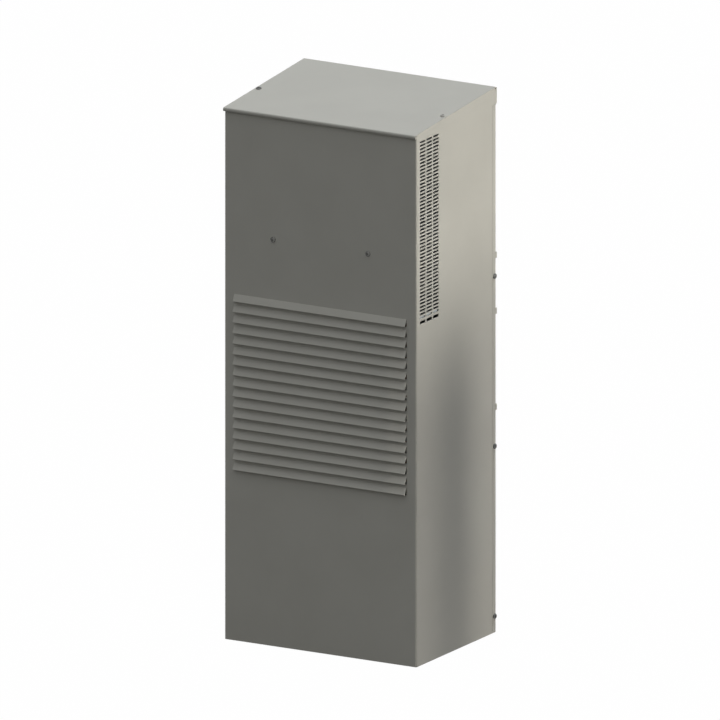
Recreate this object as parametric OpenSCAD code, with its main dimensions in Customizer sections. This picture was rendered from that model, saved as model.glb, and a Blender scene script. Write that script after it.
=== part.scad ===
// Enclosure cooling unit: a narrow closed-loop cooler that hangs on the side wall or door of a cabinet.
// X runs across the unit, Y from the front panel to the mounting face, Z up from the base.
// Outside air enters the front louvres, cools the condenser and leaves through the side slots. Cabinet
// air enters the round rear inlet, crosses the evaporator and returns through the lower rear outlet.

/* [Casing] */
// Width across the side panels
case_w = 305; // [300:1:330]
// Depth from the front panel to the mounting face
case_d = 220; // [218:1:240]
// Height of the roof at its front edge
case_h = 758.5; // [755:0.5:800]
// Rise of the roof from front to rear
roof_rise = 18.5; // [14:0.5:24]
// Thickness of the outer sheet
sheet = 1.5; // [1.2:0.1:1.8]
// Thickness of the inner sheet parts
inner_sheet = 1.2; // [0.8:0.1:1.5]
// Outside radius of the vertical bends
bend_r = 2.5; // [2.2:0.1:4]

/* [Roof] */
// Radius of the rolled drip bead
bead_r = 2.8; // [2.5:0.1:3.4]
// Distance of the bead's centre in front of the front panel
bead_out = 1.4; // [1:0.1:2]
// Turn of the rolled bead in degrees
bead_turn = 280; // [200:5:290]
// Outside radius of the bend at the rear of the roof
roof_bend_r = 3; // [2.5:0.1:5]
// Height of the lip that hangs behind the mounting face
lip_h = 23.5; // [16:0.5:28]
// Width of the flanges that carry the roof
roof_flange = 13; // [11:0.5:18]

/* [Louvres] */
// Number of louvres
louvre_count = 17; // [6:1:17]
// Distance from one louvre to the next
louvre_pitch = 15; // [14:0.1:15.2]
// Distance from the side of the unit to the louvres' ends
louvre_margin = 15.5; // [14:0.5:30]
// Length of the flap that each louvre turns out
flap_len = 11; // [8:0.1:11.5]
// Reach of each flap in front of the panel
flap_out = 5.7; // [4:0.1:6.5]
// Kerf at the ends of a flap
lance_gap = 0.3; // [0.2:0.05:0.6]

/* [Side slots] */
// Rows of side slots above the tall bottom row
slot_rows = 51; // [40:1:51]
// Columns of side slots
slot_cols = 3; // [1:1:3]
// Length of a slot
slot_len = 15; // [10:0.5:16]
// Height of a slot
slot_h = 2.9; // [1.5:0.1:3.2]
// Distance from one row to the next
slot_pitch = 5; // [4.5:0.1:5]
// Distance from one column to the next
slot_col_pitch = 18; // [17:0.5:20]
// Distance from the front panel to the first column
slot_front = 10; // [8:0.5:12]
// Distance from the roof's front edge down to the top row
slot_drop = 13; // [11:0.5:18]
// Height of the slots of the bottom row
tall_slot_h = 4.5; // [3:0.1:5]
// Distance from the last plain row to the bottom row
tall_slot_gap = 7.1; // [6.5:0.1:8]

/* [Rear panel and seams] */
// Width of the rear panel's strip along each side
strip_w = 10.6; // [9.5:0.1:13]
// Gap of the seam between cover and strip
seam_gap = 0.5; // [0.3:0.1:1]
// Heights of the three tabs on each rear edge
tab_z = [320.6, 457.5, 537.3]; // [100:0.1:700]
// Height of a tab
tab_h = 8.5; // [5:0.5:12]
// Reach of a tab behind the mounting face
tab_out = 1.7; // [1:0.1:2.5]
// Diameter of the round air inlet
inlet_d = 134; // [126:1:138]
// Width of the air outlet
outlet_w = 180; // [120:5:200]
// Height of the air outlet
outlet_h = 110; // [80:5:120]
// Height of the outlet's lower edge
outlet_z = 50; // [46:1:55]
// Width of the gasket
gasket_w = 12; // [8:0.5:13]
// Thickness of the gasket
gasket_t = 3; // [2:0.5:6]
// Distance of the gasket from the panel's edges
gasket_inset = 4; // [3:0.5:6]
// Distance from the side of the unit to the mounting inserts
insert_side = 32.5; // [30.5:0.5:34.5]
// Height of the lowest mounting inserts
insert_z0 = 30; // [26:1:32]
// Distance of the top mounting inserts below the roof's front edge
insert_drop = 38.5; // [36:0.5:46]
// Diameter of the inserts' threaded hole
insert_bore = 5; // [3.3:0.1:5.5]

/* [Screws] */
// Diameter of the screw shanks
screw_d = 3.9; // [3:0.1:4.2]
// Diameter of the screw heads
screw_head_d = 7.8; // [6.5:0.1:8.5]
// Height of the screw heads
screw_head_h = 2.2; // [1.5:0.1:3]
// Length of the screws under the head
screw_len = 8; // [6:0.5:9]
// Distance from the mounting face to the side screws
side_screw_in = 4.8; // [4.2:0.1:5.4]
// Heights of the side screws
side_screw_z = [23.3, 265.6, 508]; // [20:0.1:740]
// Distance between the two front screws
front_screw_span = 150.6; // [120:0.2:160]
// Distance of the front screws below the fan's axis
front_screw_drop = 40.2; // [30:0.1:44]
// Distance from the side of the unit to a roof screw
roof_screw_in = 6; // [5.4:0.1:7]
// Distance from the front panel to the roof screws
roof_screw_y = 84; // [60:1:160]

/* [Fans] */
// Radius of the condenser fan's impeller
cond_fan_r = 95; // [90:0.5:98]
// Radius of the evaporator fan's impeller
evap_fan_r = 87.5; // [82:0.5:92]
// Radius of both impellers' eyes
eye_r = 60; // [56:0.5:62]
// Number of blades
blade_count = 7; // [5:1:11]
// Thickness of the moulded impeller walls
impeller_t = 2; // [1.5:0.1:2.5]
// Height of the blades at the rim
blade_h = 36; // [30:0.5:38]
// Angle that a blade sweeps back from eye to rim
blade_sweep = 52; // [30:1:65]
// Radius of the rotor can
rotor_r = 36; // [32:0.5:38]
// Length of the rotor can
rotor_len = 27; // [24:0.5:30]
// Diameter of the fan shafts
shaft_d = 5; // [4:0.1:6]

/* [Coils] */
// Outside diameter of the coil tubes
coil_tube_d = 9.5; // [8:0.1:10]
// Depth of the fins
fin_depth = 32; // [30:0.5:32]
// Thickness of a fin
fin_t = 0.5; // [0.3:0.1:1]
// Distance from one fin to the next
fin_pitch = 6; // [4:0.5:10]
// Distance between the two tube columns
tube_col_pitch = 16; // [14:0.5:18]
// Vertical step from tube to tube in the condenser
cond_tube_step = 12; // [11:0.1:12.1]
// Least height between the compressor and the condenser
cond_room = 50; // [44:1:60]
// Vertical step from tube to tube in the evaporator
evap_tube_step = 12.5; // [12:0.1:13]
// Least height between the evaporator and the rim of its fan
evap_room = 86; // [80:1:100]
// Room at each end of a coil for its return bends
coil_end_room = 24; // [23:0.5:28]

/* [Compressor and pipes] */
// Share of the casing's depth that the compressor shell takes
shell_share = 0.51; // [0.46:0.001:0.515]
// Height of the compressor shell
shell_h = 172; // [160:1:178]
// Distance from the left side of the unit to the compressor's centre
shell_side = 117.5; // [114:0.5:122]
// Share of the casing's depth that the cold air duct takes
duct_share = 0.275; // [0.26:0.001:0.28]
// Diameter of the suction accumulator
acc_d = 44; // [36:1:46]
// Height of the suction accumulator
acc_h = 115; // [90:1:120]
// Diameter of the discharge and liquid pipes
pipe_d = 8; // [6:0.1:8.5]
// Bend radius of the pipes at their centre line
pipe_bend = 10; // [9:0.5:10.5]
// Diameter of the filter drier
drier_d = 19; // [16:0.5:20]
// Length of the filter drier
drier_len = 100; // [80:1:105]
// Diameter of the capillary tube
capillary_d = 2.4; // [2:0.1:3]
// Turns of the capillary tube
capillary_turns = 4.5; // [2.5:1:4.5]
// Thickness of the tub's insulation
foam_t = 5; // [3:0.5:6]

/* [Electrical] */
// Share of the casing's width that the control box takes
box_share = 0.282; // [0.27:0.001:0.288]
// Depth of the control box
box_d = 48; // [46:1:50]
// Height of the control box
box_h = 190; // [180:1:195]
// Diameter of the run capacitor
capacitor_d = 34; // [30:0.5:36]
// Diameter of the inner leads
lead_d = 5; // [3:0.5:5.5]

/* [Clearances] */
// Gap between sheet parts that seat on each other
seat_gap = 0.1; // [0.05:0.05:0.2]
// Gap between a screw and the hole it passes
hole_gap = 0.3; // [0.2:0.05:0.5]
// Radial gap between a fan shaft and its bearings
shaft_gap = 0.03; // [0.02:0.01:0.06]
// Radial gap between a tube and the sheet that it passes
tube_gap = 0.15; // [0.1:0.05:0.3]
// Gap between parts that turn and parts that stand
turn_gap = 2; // [1.5:0.1:2.5]

/* [Hidden] */
$fn = 48;
over = 1;

// Colours of the finishes
paint = "#BAB8AB";
zinc = "#AEB4B6";
alloy = "#C9CDD0";
copper = "#B5703F";
black = "#26282B";
rubber = "#1C1C1C";
foam = "#3A3C3E";
brass = "#B59A50";

// Casing planes and the sloping roof
half_w = case_w / 2;
front_y = -case_d / 2;
rear_y = case_d / 2;
front_in = front_y + sheet;
rear_in = rear_y - sheet;
roof_angle = atan(roof_rise / case_d);
roof_drop = sheet / cos(roof_angle);
roof_n = [-sin(roof_angle), cos(roof_angle)];
function roof_top(y) = case_h + roof_rise * (y - front_y) / case_d;
function roof_under(y) = roof_top(y) - roof_drop;
function roof_mid(y) = roof_top(y) - roof_drop / 2;

// Bead, rear lip and the seams below them
bead_mid_r = bead_r - sheet / 2;
bead_y = front_y - bead_out;
bead_z = roof_mid(bead_y + bead_mid_r * roof_n[0]) - bead_mid_r * roof_n[1];
cover_front_z = bead_z - bead_r - seat_gap;
lip_y = rear_y + seat_gap + sheet / 2;
lip_z = roof_top(rear_y) - lip_h;
hood_z = lip_z - sheet;
seam_y = rear_y - strip_w - seam_gap;
strip_top = hood_z - seam_gap;

// Side slots, the floor between intake and exhaust, and the louvres below it
slot_top_z = case_h - slot_drop;
last_slot_z = slot_top_z - (slot_rows - 1) * slot_pitch;
tall_slot_z = last_slot_z - tall_slot_gap;
floor_margin = 0.35;
floor_z = last_slot_z - slot_h / 2 - floor_margin;
floor_lip = slot_h + 2 * floor_margin + inner_sheet;
louvre_rise = 0.3;
function louvre_z(i) = floor_z + louvre_rise - i * louvre_pitch;
louvre_half = half_w - louvre_margin;
flap_angle = asin(flap_out / flap_len);

// Base pan, cheeks and tub, from the outside in
tongue_out = half_w - sheet - seat_gap;
tongue_in = tongue_out - sheet;
pan_half = tongue_in - seat_gap;
pan_h = 18;
chassis_half = pan_half - sheet - seat_gap;
chassis_in = chassis_half - inner_sheet;
tub_top = case_h - slot_drop + inner_sheet;
tub_bottom = pan_h + seat_gap;
upper_wall_y = -8;
lower_wall_y = rear_in - duct_share * case_d;

// Compressor on its feet, and the shelf of the tub above it
foot_rise = 8;
foot_z = sheet + foot_rise;
foot_t = 3;
shell_d = shell_share * case_d;
shell_x = shell_side - half_w;
shell_y = (front_in + lower_wall_y) / 2;
shell_z = foot_z + foot_t + seat_gap;
shell_top = shell_z + shell_h;
shelf_gap = 5.4;
shelf_z = shell_top + shelf_gap;
insert_pitch = (case_h - insert_drop - insert_z0) / 2;

// Places of the condenser fan and of the screws that hold its bracket
cond_fan_z = (slot_top_z + floor_z) / 2;
bracket_web_y = front_in + seat_gap + inner_sheet;
front_screw_z = cond_fan_z - front_screw_drop;

// Fan parts along their own axis, from the bracket's face towards the eye
fan_top_room = 13;
stator_flange_t = 4;
stator_flange_r = rotor_r + turn_gap * 2;
stator_pack_gap = 2.5;
post_r = 12;
bearing_r = 8;
bearing_t = 5;
rotor_wall = 2.5;
rotor_z = stator_flange_t + turn_gap;
rotor_end = rotor_z + rotor_len;
back_z = rotor_z + turn_gap * 2;
eye_rise = 10;
eye_z = back_z + impeller_t + blade_h + eye_rise;
throat_r = eye_r - turn_gap;
ring_lip = 16;
evap_fan_z = tub_top - evap_fan_r - fan_top_room;
evap_ring_y = rear_in - seat_gap;
guard_wire = 3;
evap_flange_y = evap_ring_y - guard_wire - seat_gap * 2 - inner_sheet;
throat_len = 12;
eye_lap = 5;
evap_bracket_y = evap_flange_y - throat_len + eye_lap - eye_z;
ring_bend = 8;

// Deck between the condenser plenum and the exhaust chamber, set by the fan that it feeds
deck_back = bracket_web_y + eye_z - eye_lap + throat_len - seat_gap;
deck_front = deck_back - inner_sheet;
deck_y = deck_back - inner_sheet / 2;
deck_half = half_w - sheet - seat_gap;
deck_lap = 12;

// Filter and coils
filter_t = 8;
filter_y = front_in + seat_gap * 3;
filter_gap = 2;
coil_y = filter_y + filter_t + filter_gap;
coil_top_gap = 6;
fin_edge = 10;
cond_top = floor_z - coil_top_gap;
cond_space = cond_top - shell_top - cond_room - 2 * fin_edge;
cond_tubes = 2 * floor((floor(cond_space / cond_tube_step) + 1) / 2);
cond_h = (cond_tubes - 1) * cond_tube_step + 2 * fin_edge;
cond_bottom = cond_top - cond_h;
coil_half = chassis_in - coil_end_room;
plate_gap = 1;
tube_out = 2;
tube_end = coil_half + plate_gap + inner_sheet + tube_out;
drain_pan_h = 14;
drain_lap = 4;
duct_h = 46;
drain_z = shelf_z + duct_h;
evap_y = 28;
evap_bottom = drain_z + drain_pan_h - drain_lap;
evap_space = evap_fan_z - evap_fan_r - evap_room - evap_bottom - 2 * fin_edge;
evap_tubes = 2 * floor(evap_space / evap_tube_step / 2) + 1;
evap_h = (evap_tubes - 1) * evap_tube_step + 2 * fin_edge;
drain_front = evap_y - drain_lap;
bell_t = 0.35;
bell_in = 2;
bell_out = 1;
port_out = pipe_bend + tube_out / 2;

// Geometry helpers
function unit(v) = v / norm(v);
function left_of(v) = [-v[1], v[0]];
function reversed(p) = [for (i = [len(p) - 1:-1:0]) p[i]];
function arc(c, r, a0, a1, n) =
    [for (i = [0:n]) let (a = a0 + (a1 - a0) * i / n) c + r * [cos(a), sin(a)]];

// One side of a bent strip: the path moved sideways by d, with mitred corners
function side_line(p, d) = let (last = len(p) - 1) [
    for (i = [0:last])
        let (before = left_of(unit(p[max(i, 1)] - p[max(i, 1) - 1])),
             after = left_of(unit(p[min(i + 1, last)] - p[min(i + 1, last) - 1])),
             middle = unit(before + after))
        p[i] + middle * d / (middle * before)
];
function strip(p, t) = concat(side_line(p, t / 2), reversed(side_line(p, -t / 2)));

// A sloping band below the roof, as an outline in Y and Z
function roof_band(y0, y1, drop, t) = [
    [y0, roof_under(y0) - drop], [y1, roof_under(y1) - drop],
    [y1, roof_under(y1) - drop - t], [y0, roof_under(y0) - drop - t]
];

module block(lo, hi) translate(lo) cube(hi - lo);
module extrude_x(x0, x1) translate([x0, 0, 0]) rotate([90, 0, 90]) linear_extrude(x1 - x0) children();
module extrude_y(y0, y1) translate([0, y1, 0]) rotate([90, 0, 0]) linear_extrude(y1 - y0) children();
module along_y(p) translate(p) rotate([-90, 0, 0]) children();
module along_x(p) translate(p) rotate([0, 90, 0]) children();
module both_sides() {
    children();
    mirror([1, 0, 0]) children();
}

// Flat shape with two rounded corners at its y0 side
module rounded_front(hw, y0, y1, r) {
    translate([-hw, y0 + r]) square([2 * hw, y1 - y0 - r]);
    translate([r - hw, y0]) square([2 * (hw - r), y1 - y0]);
    for (s = [-1, 1]) translate([s * (hw - r), y0 + r]) circle(r);
}

// Pan head screw: head on the +Z side of its seat, shank below, with a cross recess
module pan_screw(length) {
    head_r = screw_head_d / 2;
    recess_w = screw_head_d / 7;
    recess_l = screw_head_d / 1.9;
    difference() {
        rotate_extrude() polygon([
            [0, -length], [screw_d / 2, -length], [screw_d / 2, 0], [head_r, 0],
            [head_r, screw_head_h * 0.45], [head_r * 0.86, screw_head_h * 0.78],
            [head_r * 0.6, screw_head_h * 0.94], [head_r * 0.3, screw_head_h], [0, screw_head_h]
        ]);
        for (a = [0, 90]) rotate(a)
            block([-recess_l / 2, -recess_w / 2, screw_head_h * 0.45],
                  [recess_l / 2, recess_w / 2, screw_head_h + over]);
    }
}

// Straight tube pieces joined by quarter bends, along axis-parallel points
module tube_path(p, d, bend) {
    last = len(p) - 1;
    for (i = [1:last]) {
        u = unit(p[i] - p[i - 1]);
        a = p[i - 1] + (i > 1 ? bend : 0) * u;
        b = p[i] - (i < last ? bend : 0) * u;
        side = abs(u[2]) > 0.5 ? [1, 0, 0] : [0, 0, 1];
        w = cross(u, side);
        multmatrix([[side[0], w[0], u[0], a[0]], [side[1], w[1], u[1], a[1]],
                    [side[2], w[2], u[2], a[2]], [0, 0, 0, 1]])
            cylinder(d = d, h = norm(b - a));
        if (i < last) {
            v = unit(p[i + 1] - p[i]);
            c = p[i] - bend * u + bend * v;
            n = cross(u, v);
            multmatrix([[-v[0], u[0], n[0], c[0]], [-v[1], u[1], n[1], c[1]],
                        [-v[2], u[2], n[2], c[2]], [0, 0, 0, 1]])
                rotate_extrude(angle = 90) translate([bend, 0]) circle(d = d);
        }
    }
}

// Soft lead or thin tube: points with rounded corners, swept with a ring at each point
function rounded(p, r, n) = [
    for (i = [0:len(p) - 1])
        if (i == 0 || i == len(p) - 1) p[i]
        else let (u = unit(p[i] - p[i - 1]), v = unit(p[i + 1] - p[i]), a = p[i] - r * u, b = p[i] + r * v)
            each [for (k = [0:n]) let (t = k / n) (1 - t) * (1 - t) * a + 2 * t * (1 - t) * p[i] + t * t * b]
];
function tangent(p, i) = let (last = len(p) - 1) unit(p[min(i + 1, last)] - p[max(i - 1, 0)]);
function side_from(t, s) = unit(s - (s * t) * t);
module swept(p, d, sides) {
    last = len(p) - 1;
    start = abs(tangent(p, 0)[2]) > 0.7 ? [1, 0, 0] : [0, 0, 1];
    across = [for (i = 0, s = side_from(tangent(p, 0), start); i <= last;
                   i = i + 1, s = i <= last ? side_from(tangent(p, i), s) : s) s];
    points = [for (i = [0:last], k = [0:sides - 1])
        let (t = tangent(p, i), a = 360 * k / sides)
        p[i] + d / 2 * (cos(a) * across[i] + sin(a) * cross(t, across[i]))];
    faces = concat(
        [[for (k = [0:sides - 1]) k]],
        [for (i = [0:last - 1], k = [0:sides - 1]) let (n = (k + 1) % sides)
            each [[i * sides + k, (i + 1) * sides + k, (i + 1) * sides + n],
                  [i * sides + k, (i + 1) * sides + n, i * sides + n]]],
        [[for (k = [sides - 1:-1:0]) last * sides + k]]);
    polyhedron(points, faces);
}

// Casing

module wrap_plan(end_y) difference() {
    rounded_front(half_w, front_y, end_y, bend_r);
    rounded_front(half_w - sheet, front_in, end_y + over, bend_r - sheet);
}

// Tongue behind a side seam in plan, rounded where it lies in the rear panel's bend
module tongue_plan() intersection() {
    translate([tongue_in, seam_y - sheet]) square([sheet, case_d]);
    mirror([0, 1])
        rounded_front(tongue_out, seat_gap - rear_in, sheet - seam_y, bend_r - sheet - seat_gap);
}

// Outline of one louvre flap in Y and Z, hinged at its top
module flap_outline(z) {
    d = [-sin(flap_angle), -cos(flap_angle)];
    n = [cos(flap_angle), -sin(flap_angle)];
    top = [front_y, z];
    tip = top + flap_len * d;
    polygon([top, tip, tip + sheet * n, [front_in, z - sheet * tan(flap_angle / 2)]]);
}

// Outline of a side under the roof in Y and Z, with a corner cut off below the roof's rear bend
function side_outline(reach) =
    let (y0 = front_y - over, y1 = rear_y - roof_bend_r, z1 = roof_under(y1) - seat_gap)
    [[y0, roof_under(y0) - seat_gap], [y1, z1], [rear_y + over, z1 - roof_bend_r - over],
     [rear_y + over, -reach], [y0, -reach]];

module slot_tools() {
    for (row = [0:slot_rows], col = [0:slot_cols - 1]) {
        tall = row == slot_rows;
        z = tall ? tall_slot_z : slot_top_z - row * slot_pitch;
        h = tall ? tall_slot_h : slot_h;
        y = front_y + slot_front + col * slot_col_pitch;
        block([-half_w - over, y, z - h / 2], [half_w + over, y + slot_len, z + h / 2]);
    }
}

module cover() color(paint) {
    tall = roof_top(rear_y) + over;
    difference() {
        union() {
            intersection() {
                union() {
                    linear_extrude(tall) wrap_plan(seam_y);
                    translate([0, 0, hood_z]) linear_extrude(tall - hood_z) wrap_plan(rear_y);
                }
                extrude_x(-half_w - over, half_w + over) polygon(side_outline(tall));
            }
            both_sides() {
                linear_extrude(hood_z) tongue_plan();
                block([tongue_in, seam_y - sheet, 0], [half_w - sheet / 2, seam_y, hood_z]);
                extrude_x(half_w - roof_flange, half_w - sheet / 2)
                    polygon(roof_band(front_in + bend_r, rear_y - roof_flange, seat_gap, sheet));
            }
            block([roof_flange - half_w, front_y + sheet / 2, cover_front_z - sheet],
                  [half_w - roof_flange, front_y + roof_flange, cover_front_z]);
        }
        block([-half_w - over, front_y - over, cover_front_z],
              [half_w + over, bead_y + bead_r + seat_gap, tall]);
        for (i = [0:louvre_count - 1])
            block([-louvre_half, front_y - over, louvre_z(i) - flap_len],
                  [louvre_half, front_in + over, louvre_z(i) - sheet * tan(flap_angle / 2)]);
        slot_tools();
        for (s = [-1, 1]) along_y([s * front_screw_span / 2, front_y - over, front_screw_z])
            cylinder(d = screw_d + 2 * hole_gap, h = sheet + 2 * over);
        both_sides() {
            for (z = side_screw_z) along_x([tongue_in - over, rear_y - side_screw_in, z])
                cylinder(d = screw_d + 2 * hole_gap, h = sheet + 2 * over);
            at_roof_screw() translate([0, 0, -screw_len])
                cylinder(d = screw_d + 2 * hole_gap, h = screw_len + over);
        }
    }
    for (i = [0:louvre_count - 1])
        extrude_x(lance_gap - louvre_half, louvre_half - lance_gap) flap_outline(louvre_z(i));
}

// Seat of the right roof screw, with +Z along the roof's normal
module at_roof_screw() {
    y = front_y + roof_screw_y;
    translate([half_w - roof_screw_in, y, roof_top(y)]) rotate([roof_angle, 0, 0]) children();
}

// The roof's section: rolled bead, sloping plate, rear bend and hanging lip
function roof_path() =
    let (bend_mid = roof_bend_r - sheet / 2,
         normal_angle = 90 + roof_angle,
         bend_y = lip_y - bend_mid,
         bend_z = roof_mid(bend_y + bend_mid * roof_n[0]) - bend_mid * roof_n[1])
    concat(arc([bead_y, bead_z], bead_mid_r, normal_angle + bead_turn, normal_angle, 28),
           arc([bend_y, bend_z], bend_mid, normal_angle, 0, 6),
           [[lip_y, lip_z]]);

module roof_panel() color(paint) difference() {
    extrude_x(-half_w, half_w) polygon(strip(roof_path(), sheet));
    both_sides() at_roof_screw() translate([0, 0, -sheet - over])
        cylinder(d = screw_d + 2 * hole_gap, h = sheet + 2 * over);
}

module at_inserts() for (s = [-1, 1], i = [0:2])
    translate([s * (half_w - insert_side), rear_y, insert_z0 + i * insert_pitch]) children();

socket_side = 47.5;
socket_x = half_w - socket_side;
socket_rise = 18;
socket_z = shelf_z + socket_rise;
socket_w = 44;
socket_h = 22;
socket_flange = 3;
socket_depth = 26;

module rear_panel() color(paint) {
    upper_half = half_w - sheet - seam_gap;
    insert_hole_r = insert_bore / 2 + sheet + hole_gap;
    difference() {
        union() {
            linear_extrude(strip_top) mirror([0, 1]) difference() {
                rounded_front(half_w, -rear_y, strip_w - rear_y, bend_r);
                rounded_front(half_w - sheet, -rear_in, strip_w - rear_y + over, bend_r - sheet);
            }
            block([-upper_half, rear_in, strip_top - sheet],
                  [upper_half, rear_y, roof_under(rear_in) - roof_bend_r]);
            both_sides() for (z = tab_z)
                block([half_w - sheet, rear_in, z - tab_h / 2], [half_w, rear_y + tab_out, z + tab_h / 2]);
        }
        along_y([0, rear_in - over, evap_fan_z]) cylinder(d = inlet_d, h = sheet + 2 * over, $fn = 96);
        block([-outlet_w / 2, rear_in - over, outlet_z], [outlet_w / 2, rear_y + over, outlet_z + outlet_h]);
        block([socket_x - socket_w / 2 - seat_gap, rear_in - over, socket_z - socket_h / 2 - seat_gap],
              [socket_x + socket_w / 2 + seat_gap, rear_y + over, socket_z + socket_h / 2 + seat_gap]);
        at_inserts() rotate([90, 0, 0]) translate([0, 0, -over])
            cylinder(r = insert_hole_r, h = sheet + 2 * over);
        both_sides() for (z = side_screw_z) along_x([half_w - sheet - over, rear_y - side_screw_in, z])
            cylinder(d = screw_d + 2 * hole_gap, h = sheet + 2 * over);
    }
}

drain_side = 30;
drain_in = 22;
drain_x = drain_side - chassis_in;
drain_y = lower_wall_y + drain_in;
drain_r = 8;
drain_wall = 1.5;
foot_reach = 10;
foot_r = shell_d / 2 + foot_reach;
foot_angles = [60, 180, 300];
bolt_r = 4;

module at_feet() for (a = foot_angles) translate([shell_x, shell_y, sheet]) rotate(a)
    translate([foot_r, 0, 0]) children();

module base_pan() color(zinc) difference() {
    block([-pan_half, front_in + seat_gap, 0], [pan_half, rear_in - seat_gap, pan_h]);
    block([sheet - pan_half, front_in + seat_gap + sheet, sheet],
          [pan_half - sheet, rear_in - seat_gap - sheet, pan_h + over]);
    translate([drain_x, drain_y, -over]) cylinder(r = drain_r + tube_gap, h = sheet + 2 * over);
}

module rear_gasket() color(foam) extrude_y(rear_y, rear_y + gasket_t) difference() {
    outer = half_w - gasket_inset;
    translate([-outer, gasket_inset]) square([2 * outer, lip_z - 2 * gasket_inset]);
    translate([gasket_w - outer, gasket_inset + gasket_w])
        square([2 * (outer - gasket_w), lip_z - 2 * (gasket_inset + gasket_w)]);
}

module mounting_inserts() color(zinc) at_inserts() rotate([90, 0, 0]) {
    body_r = insert_bore / 2 + sheet;
    insert_len = 12;
    rim_t = 0.8;
    rotate_extrude() polygon([
        [insert_bore / 2, -rim_t], [body_r + sheet, -rim_t], [body_r + sheet, 0], [body_r, 0],
        [body_r, sheet], [body_r + sheet, sheet + seat_gap], [body_r + sheet, sheet * 2],
        [body_r, sheet * 3], [body_r, insert_len], [insert_bore / 2, insert_len]
    ]);
}

module side_screws() color(zinc) both_sides() for (z = side_screw_z)
    along_x([half_w, rear_y - side_screw_in, z]) pan_screw(screw_len);

module front_screws() color(alloy) for (s = [-1, 1])
    translate([s * front_screw_span / 2, front_y, front_screw_z]) rotate([90, 0, 0]) pan_screw(screw_len);

module roof_screws() color(zinc) both_sides() at_roof_screw() pan_screw(screw_len);

// Chassis: tub, cheeks and deck

function tub_section() = let (t = inner_sheet / 2, rim = rear_in - seat_gap) [
    [rim, tub_top - t], [upper_wall_y + t, tub_top - t], [upper_wall_y + t, shelf_z + t],
    [lower_wall_y + t, shelf_z + t], [lower_wall_y + t, tub_bottom + t], [rim, tub_bottom + t]
];

// Places where pipes and leads cross the tub's walls
suction_rise = 24;
suction_back = 16;
suction_x = tube_end + port_out;
suction_y = evap_y - suction_back;
suction_z = shelf_z + suction_rise;
capillary_rise = 40;
capillary_port_z = shelf_z + capillary_rise;
capillary_x = -tube_end - port_out;
lead_side = 46.5;
lead_x = chassis_in - lead_side;
lead_y = 10;
fan_lead_drop = 20;
fan_lead_z = shelf_z - fan_lead_drop;
power_lead_drop = 40;
power_lead_z = shelf_z - power_lead_drop;
power_lead_side = 13;
power_lead_x = socket_x + power_lead_side;

module partition_tub() color(zinc) {
    rim = rear_in - seat_gap;
    difference() {
        union() {
            extrude_x(-chassis_half, chassis_half) polygon(strip(tub_section(), inner_sheet));
            both_sides() extrude_x(chassis_in, chassis_half) polygon([
                [rim, tub_top], [upper_wall_y, tub_top], [upper_wall_y, shelf_z], [lower_wall_y, shelf_z],
                [lower_wall_y, tub_bottom], [rim, tub_bottom]
            ]);
        }
        along_y([suction_x, upper_wall_y - over, suction_z])
            cylinder(d = coil_tube_d + 2 * tube_gap, h = inner_sheet + 2 * over);
        along_y([capillary_x, upper_wall_y - over, capillary_port_z])
            cylinder(d = capillary_d + 4 * tube_gap, h = inner_sheet + 2 * over);
        translate([lead_x, lead_y, shelf_z - over])
            cylinder(d = lead_d + 4 * tube_gap, h = inner_sheet + 2 * over);
        along_y([power_lead_x, lower_wall_y - over, power_lead_z])
            cylinder(d = lead_d + 4 * tube_gap, h = inner_sheet + 2 * over);
        translate([drain_x, drain_y, tub_bottom - over])
            cylinder(r = drain_r + tube_gap, h = inner_sheet + 2 * over);
        both_sides() for (z = side_screw_z) along_x([chassis_in - over, rear_y - side_screw_in, z])
            cylinder(d = screw_d + 2 * hole_gap, h = inner_sheet + 2 * over);
    }
}

evap_bracket_half = 60;
evap_bracket_h = 90;
evap_foot = 18;
foam_y = upper_wall_y + inner_sheet + seat_gap;

module tub_insulation() color(foam) difference() {
    block([seat_gap - chassis_in, foam_y, shelf_z + inner_sheet + seat_gap],
          [chassis_in - seat_gap, foam_y + foam_t, tub_top - inner_sheet - seat_gap]);
    both_sides() block(
        [evap_bracket_half - hole_gap, foam_y - over, evap_fan_z - evap_bracket_h / 2 - hole_gap],
        [evap_bracket_half + evap_foot + hole_gap, foam_y + foam_t + over,
         evap_fan_z + evap_bracket_h / 2 + hole_gap]);
    along_y([suction_x, foam_y - over, suction_z])
        cylinder(d = coil_tube_d + 2 * tube_gap, h = foam_t + 2 * over);
    along_y([capillary_x, foam_y - over, capillary_port_z])
        cylinder(d = capillary_d + 4 * tube_gap, h = foam_t + 2 * over);
}

module side_cheeks() color(zinc) both_sides()
    block([chassis_in, coil_y, sheet], [chassis_half, upper_wall_y - seat_gap, floor_z - fin_edge]);

module fan_deck() color(zinc) {
    t = inner_sheet / 2;
    front = front_in + seat_gap;
    top = tub_top + seat_gap + t;
    difference() {
        intersection() {
            union() {
                extrude_x(-deck_half, deck_half) polygon(strip([
                    [front, floor_z + t], [deck_y, floor_z + t], [deck_y, top],
                    [upper_wall_y + deck_lap, top]
                ], inner_sheet));
                both_sides() block([deck_half - inner_sheet, front, floor_z],
                                   [deck_half, deck_y, floor_z + floor_lip]);
            }
            translate([0, 0, floor_z - over]) linear_extrude(top - floor_z + 2 * over)
                rounded_front(deck_half, front, upper_wall_y + deck_lap + over, bend_r - sheet - seat_gap);
        }
        along_y([0, deck_y - over, cond_fan_z])
            cylinder(r = throat_r + ring_bend + turn_gap, h = 2 * over, $fn = 96);
        translate([cond_lead_x, cond_lead_y, floor_z - over])
            cylinder(d = lead_d + 4 * tube_gap, h = inner_sheet + 2 * over);
    }
}

// Fans: each part is drawn along +Z from its bracket's face towards the eye

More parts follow.
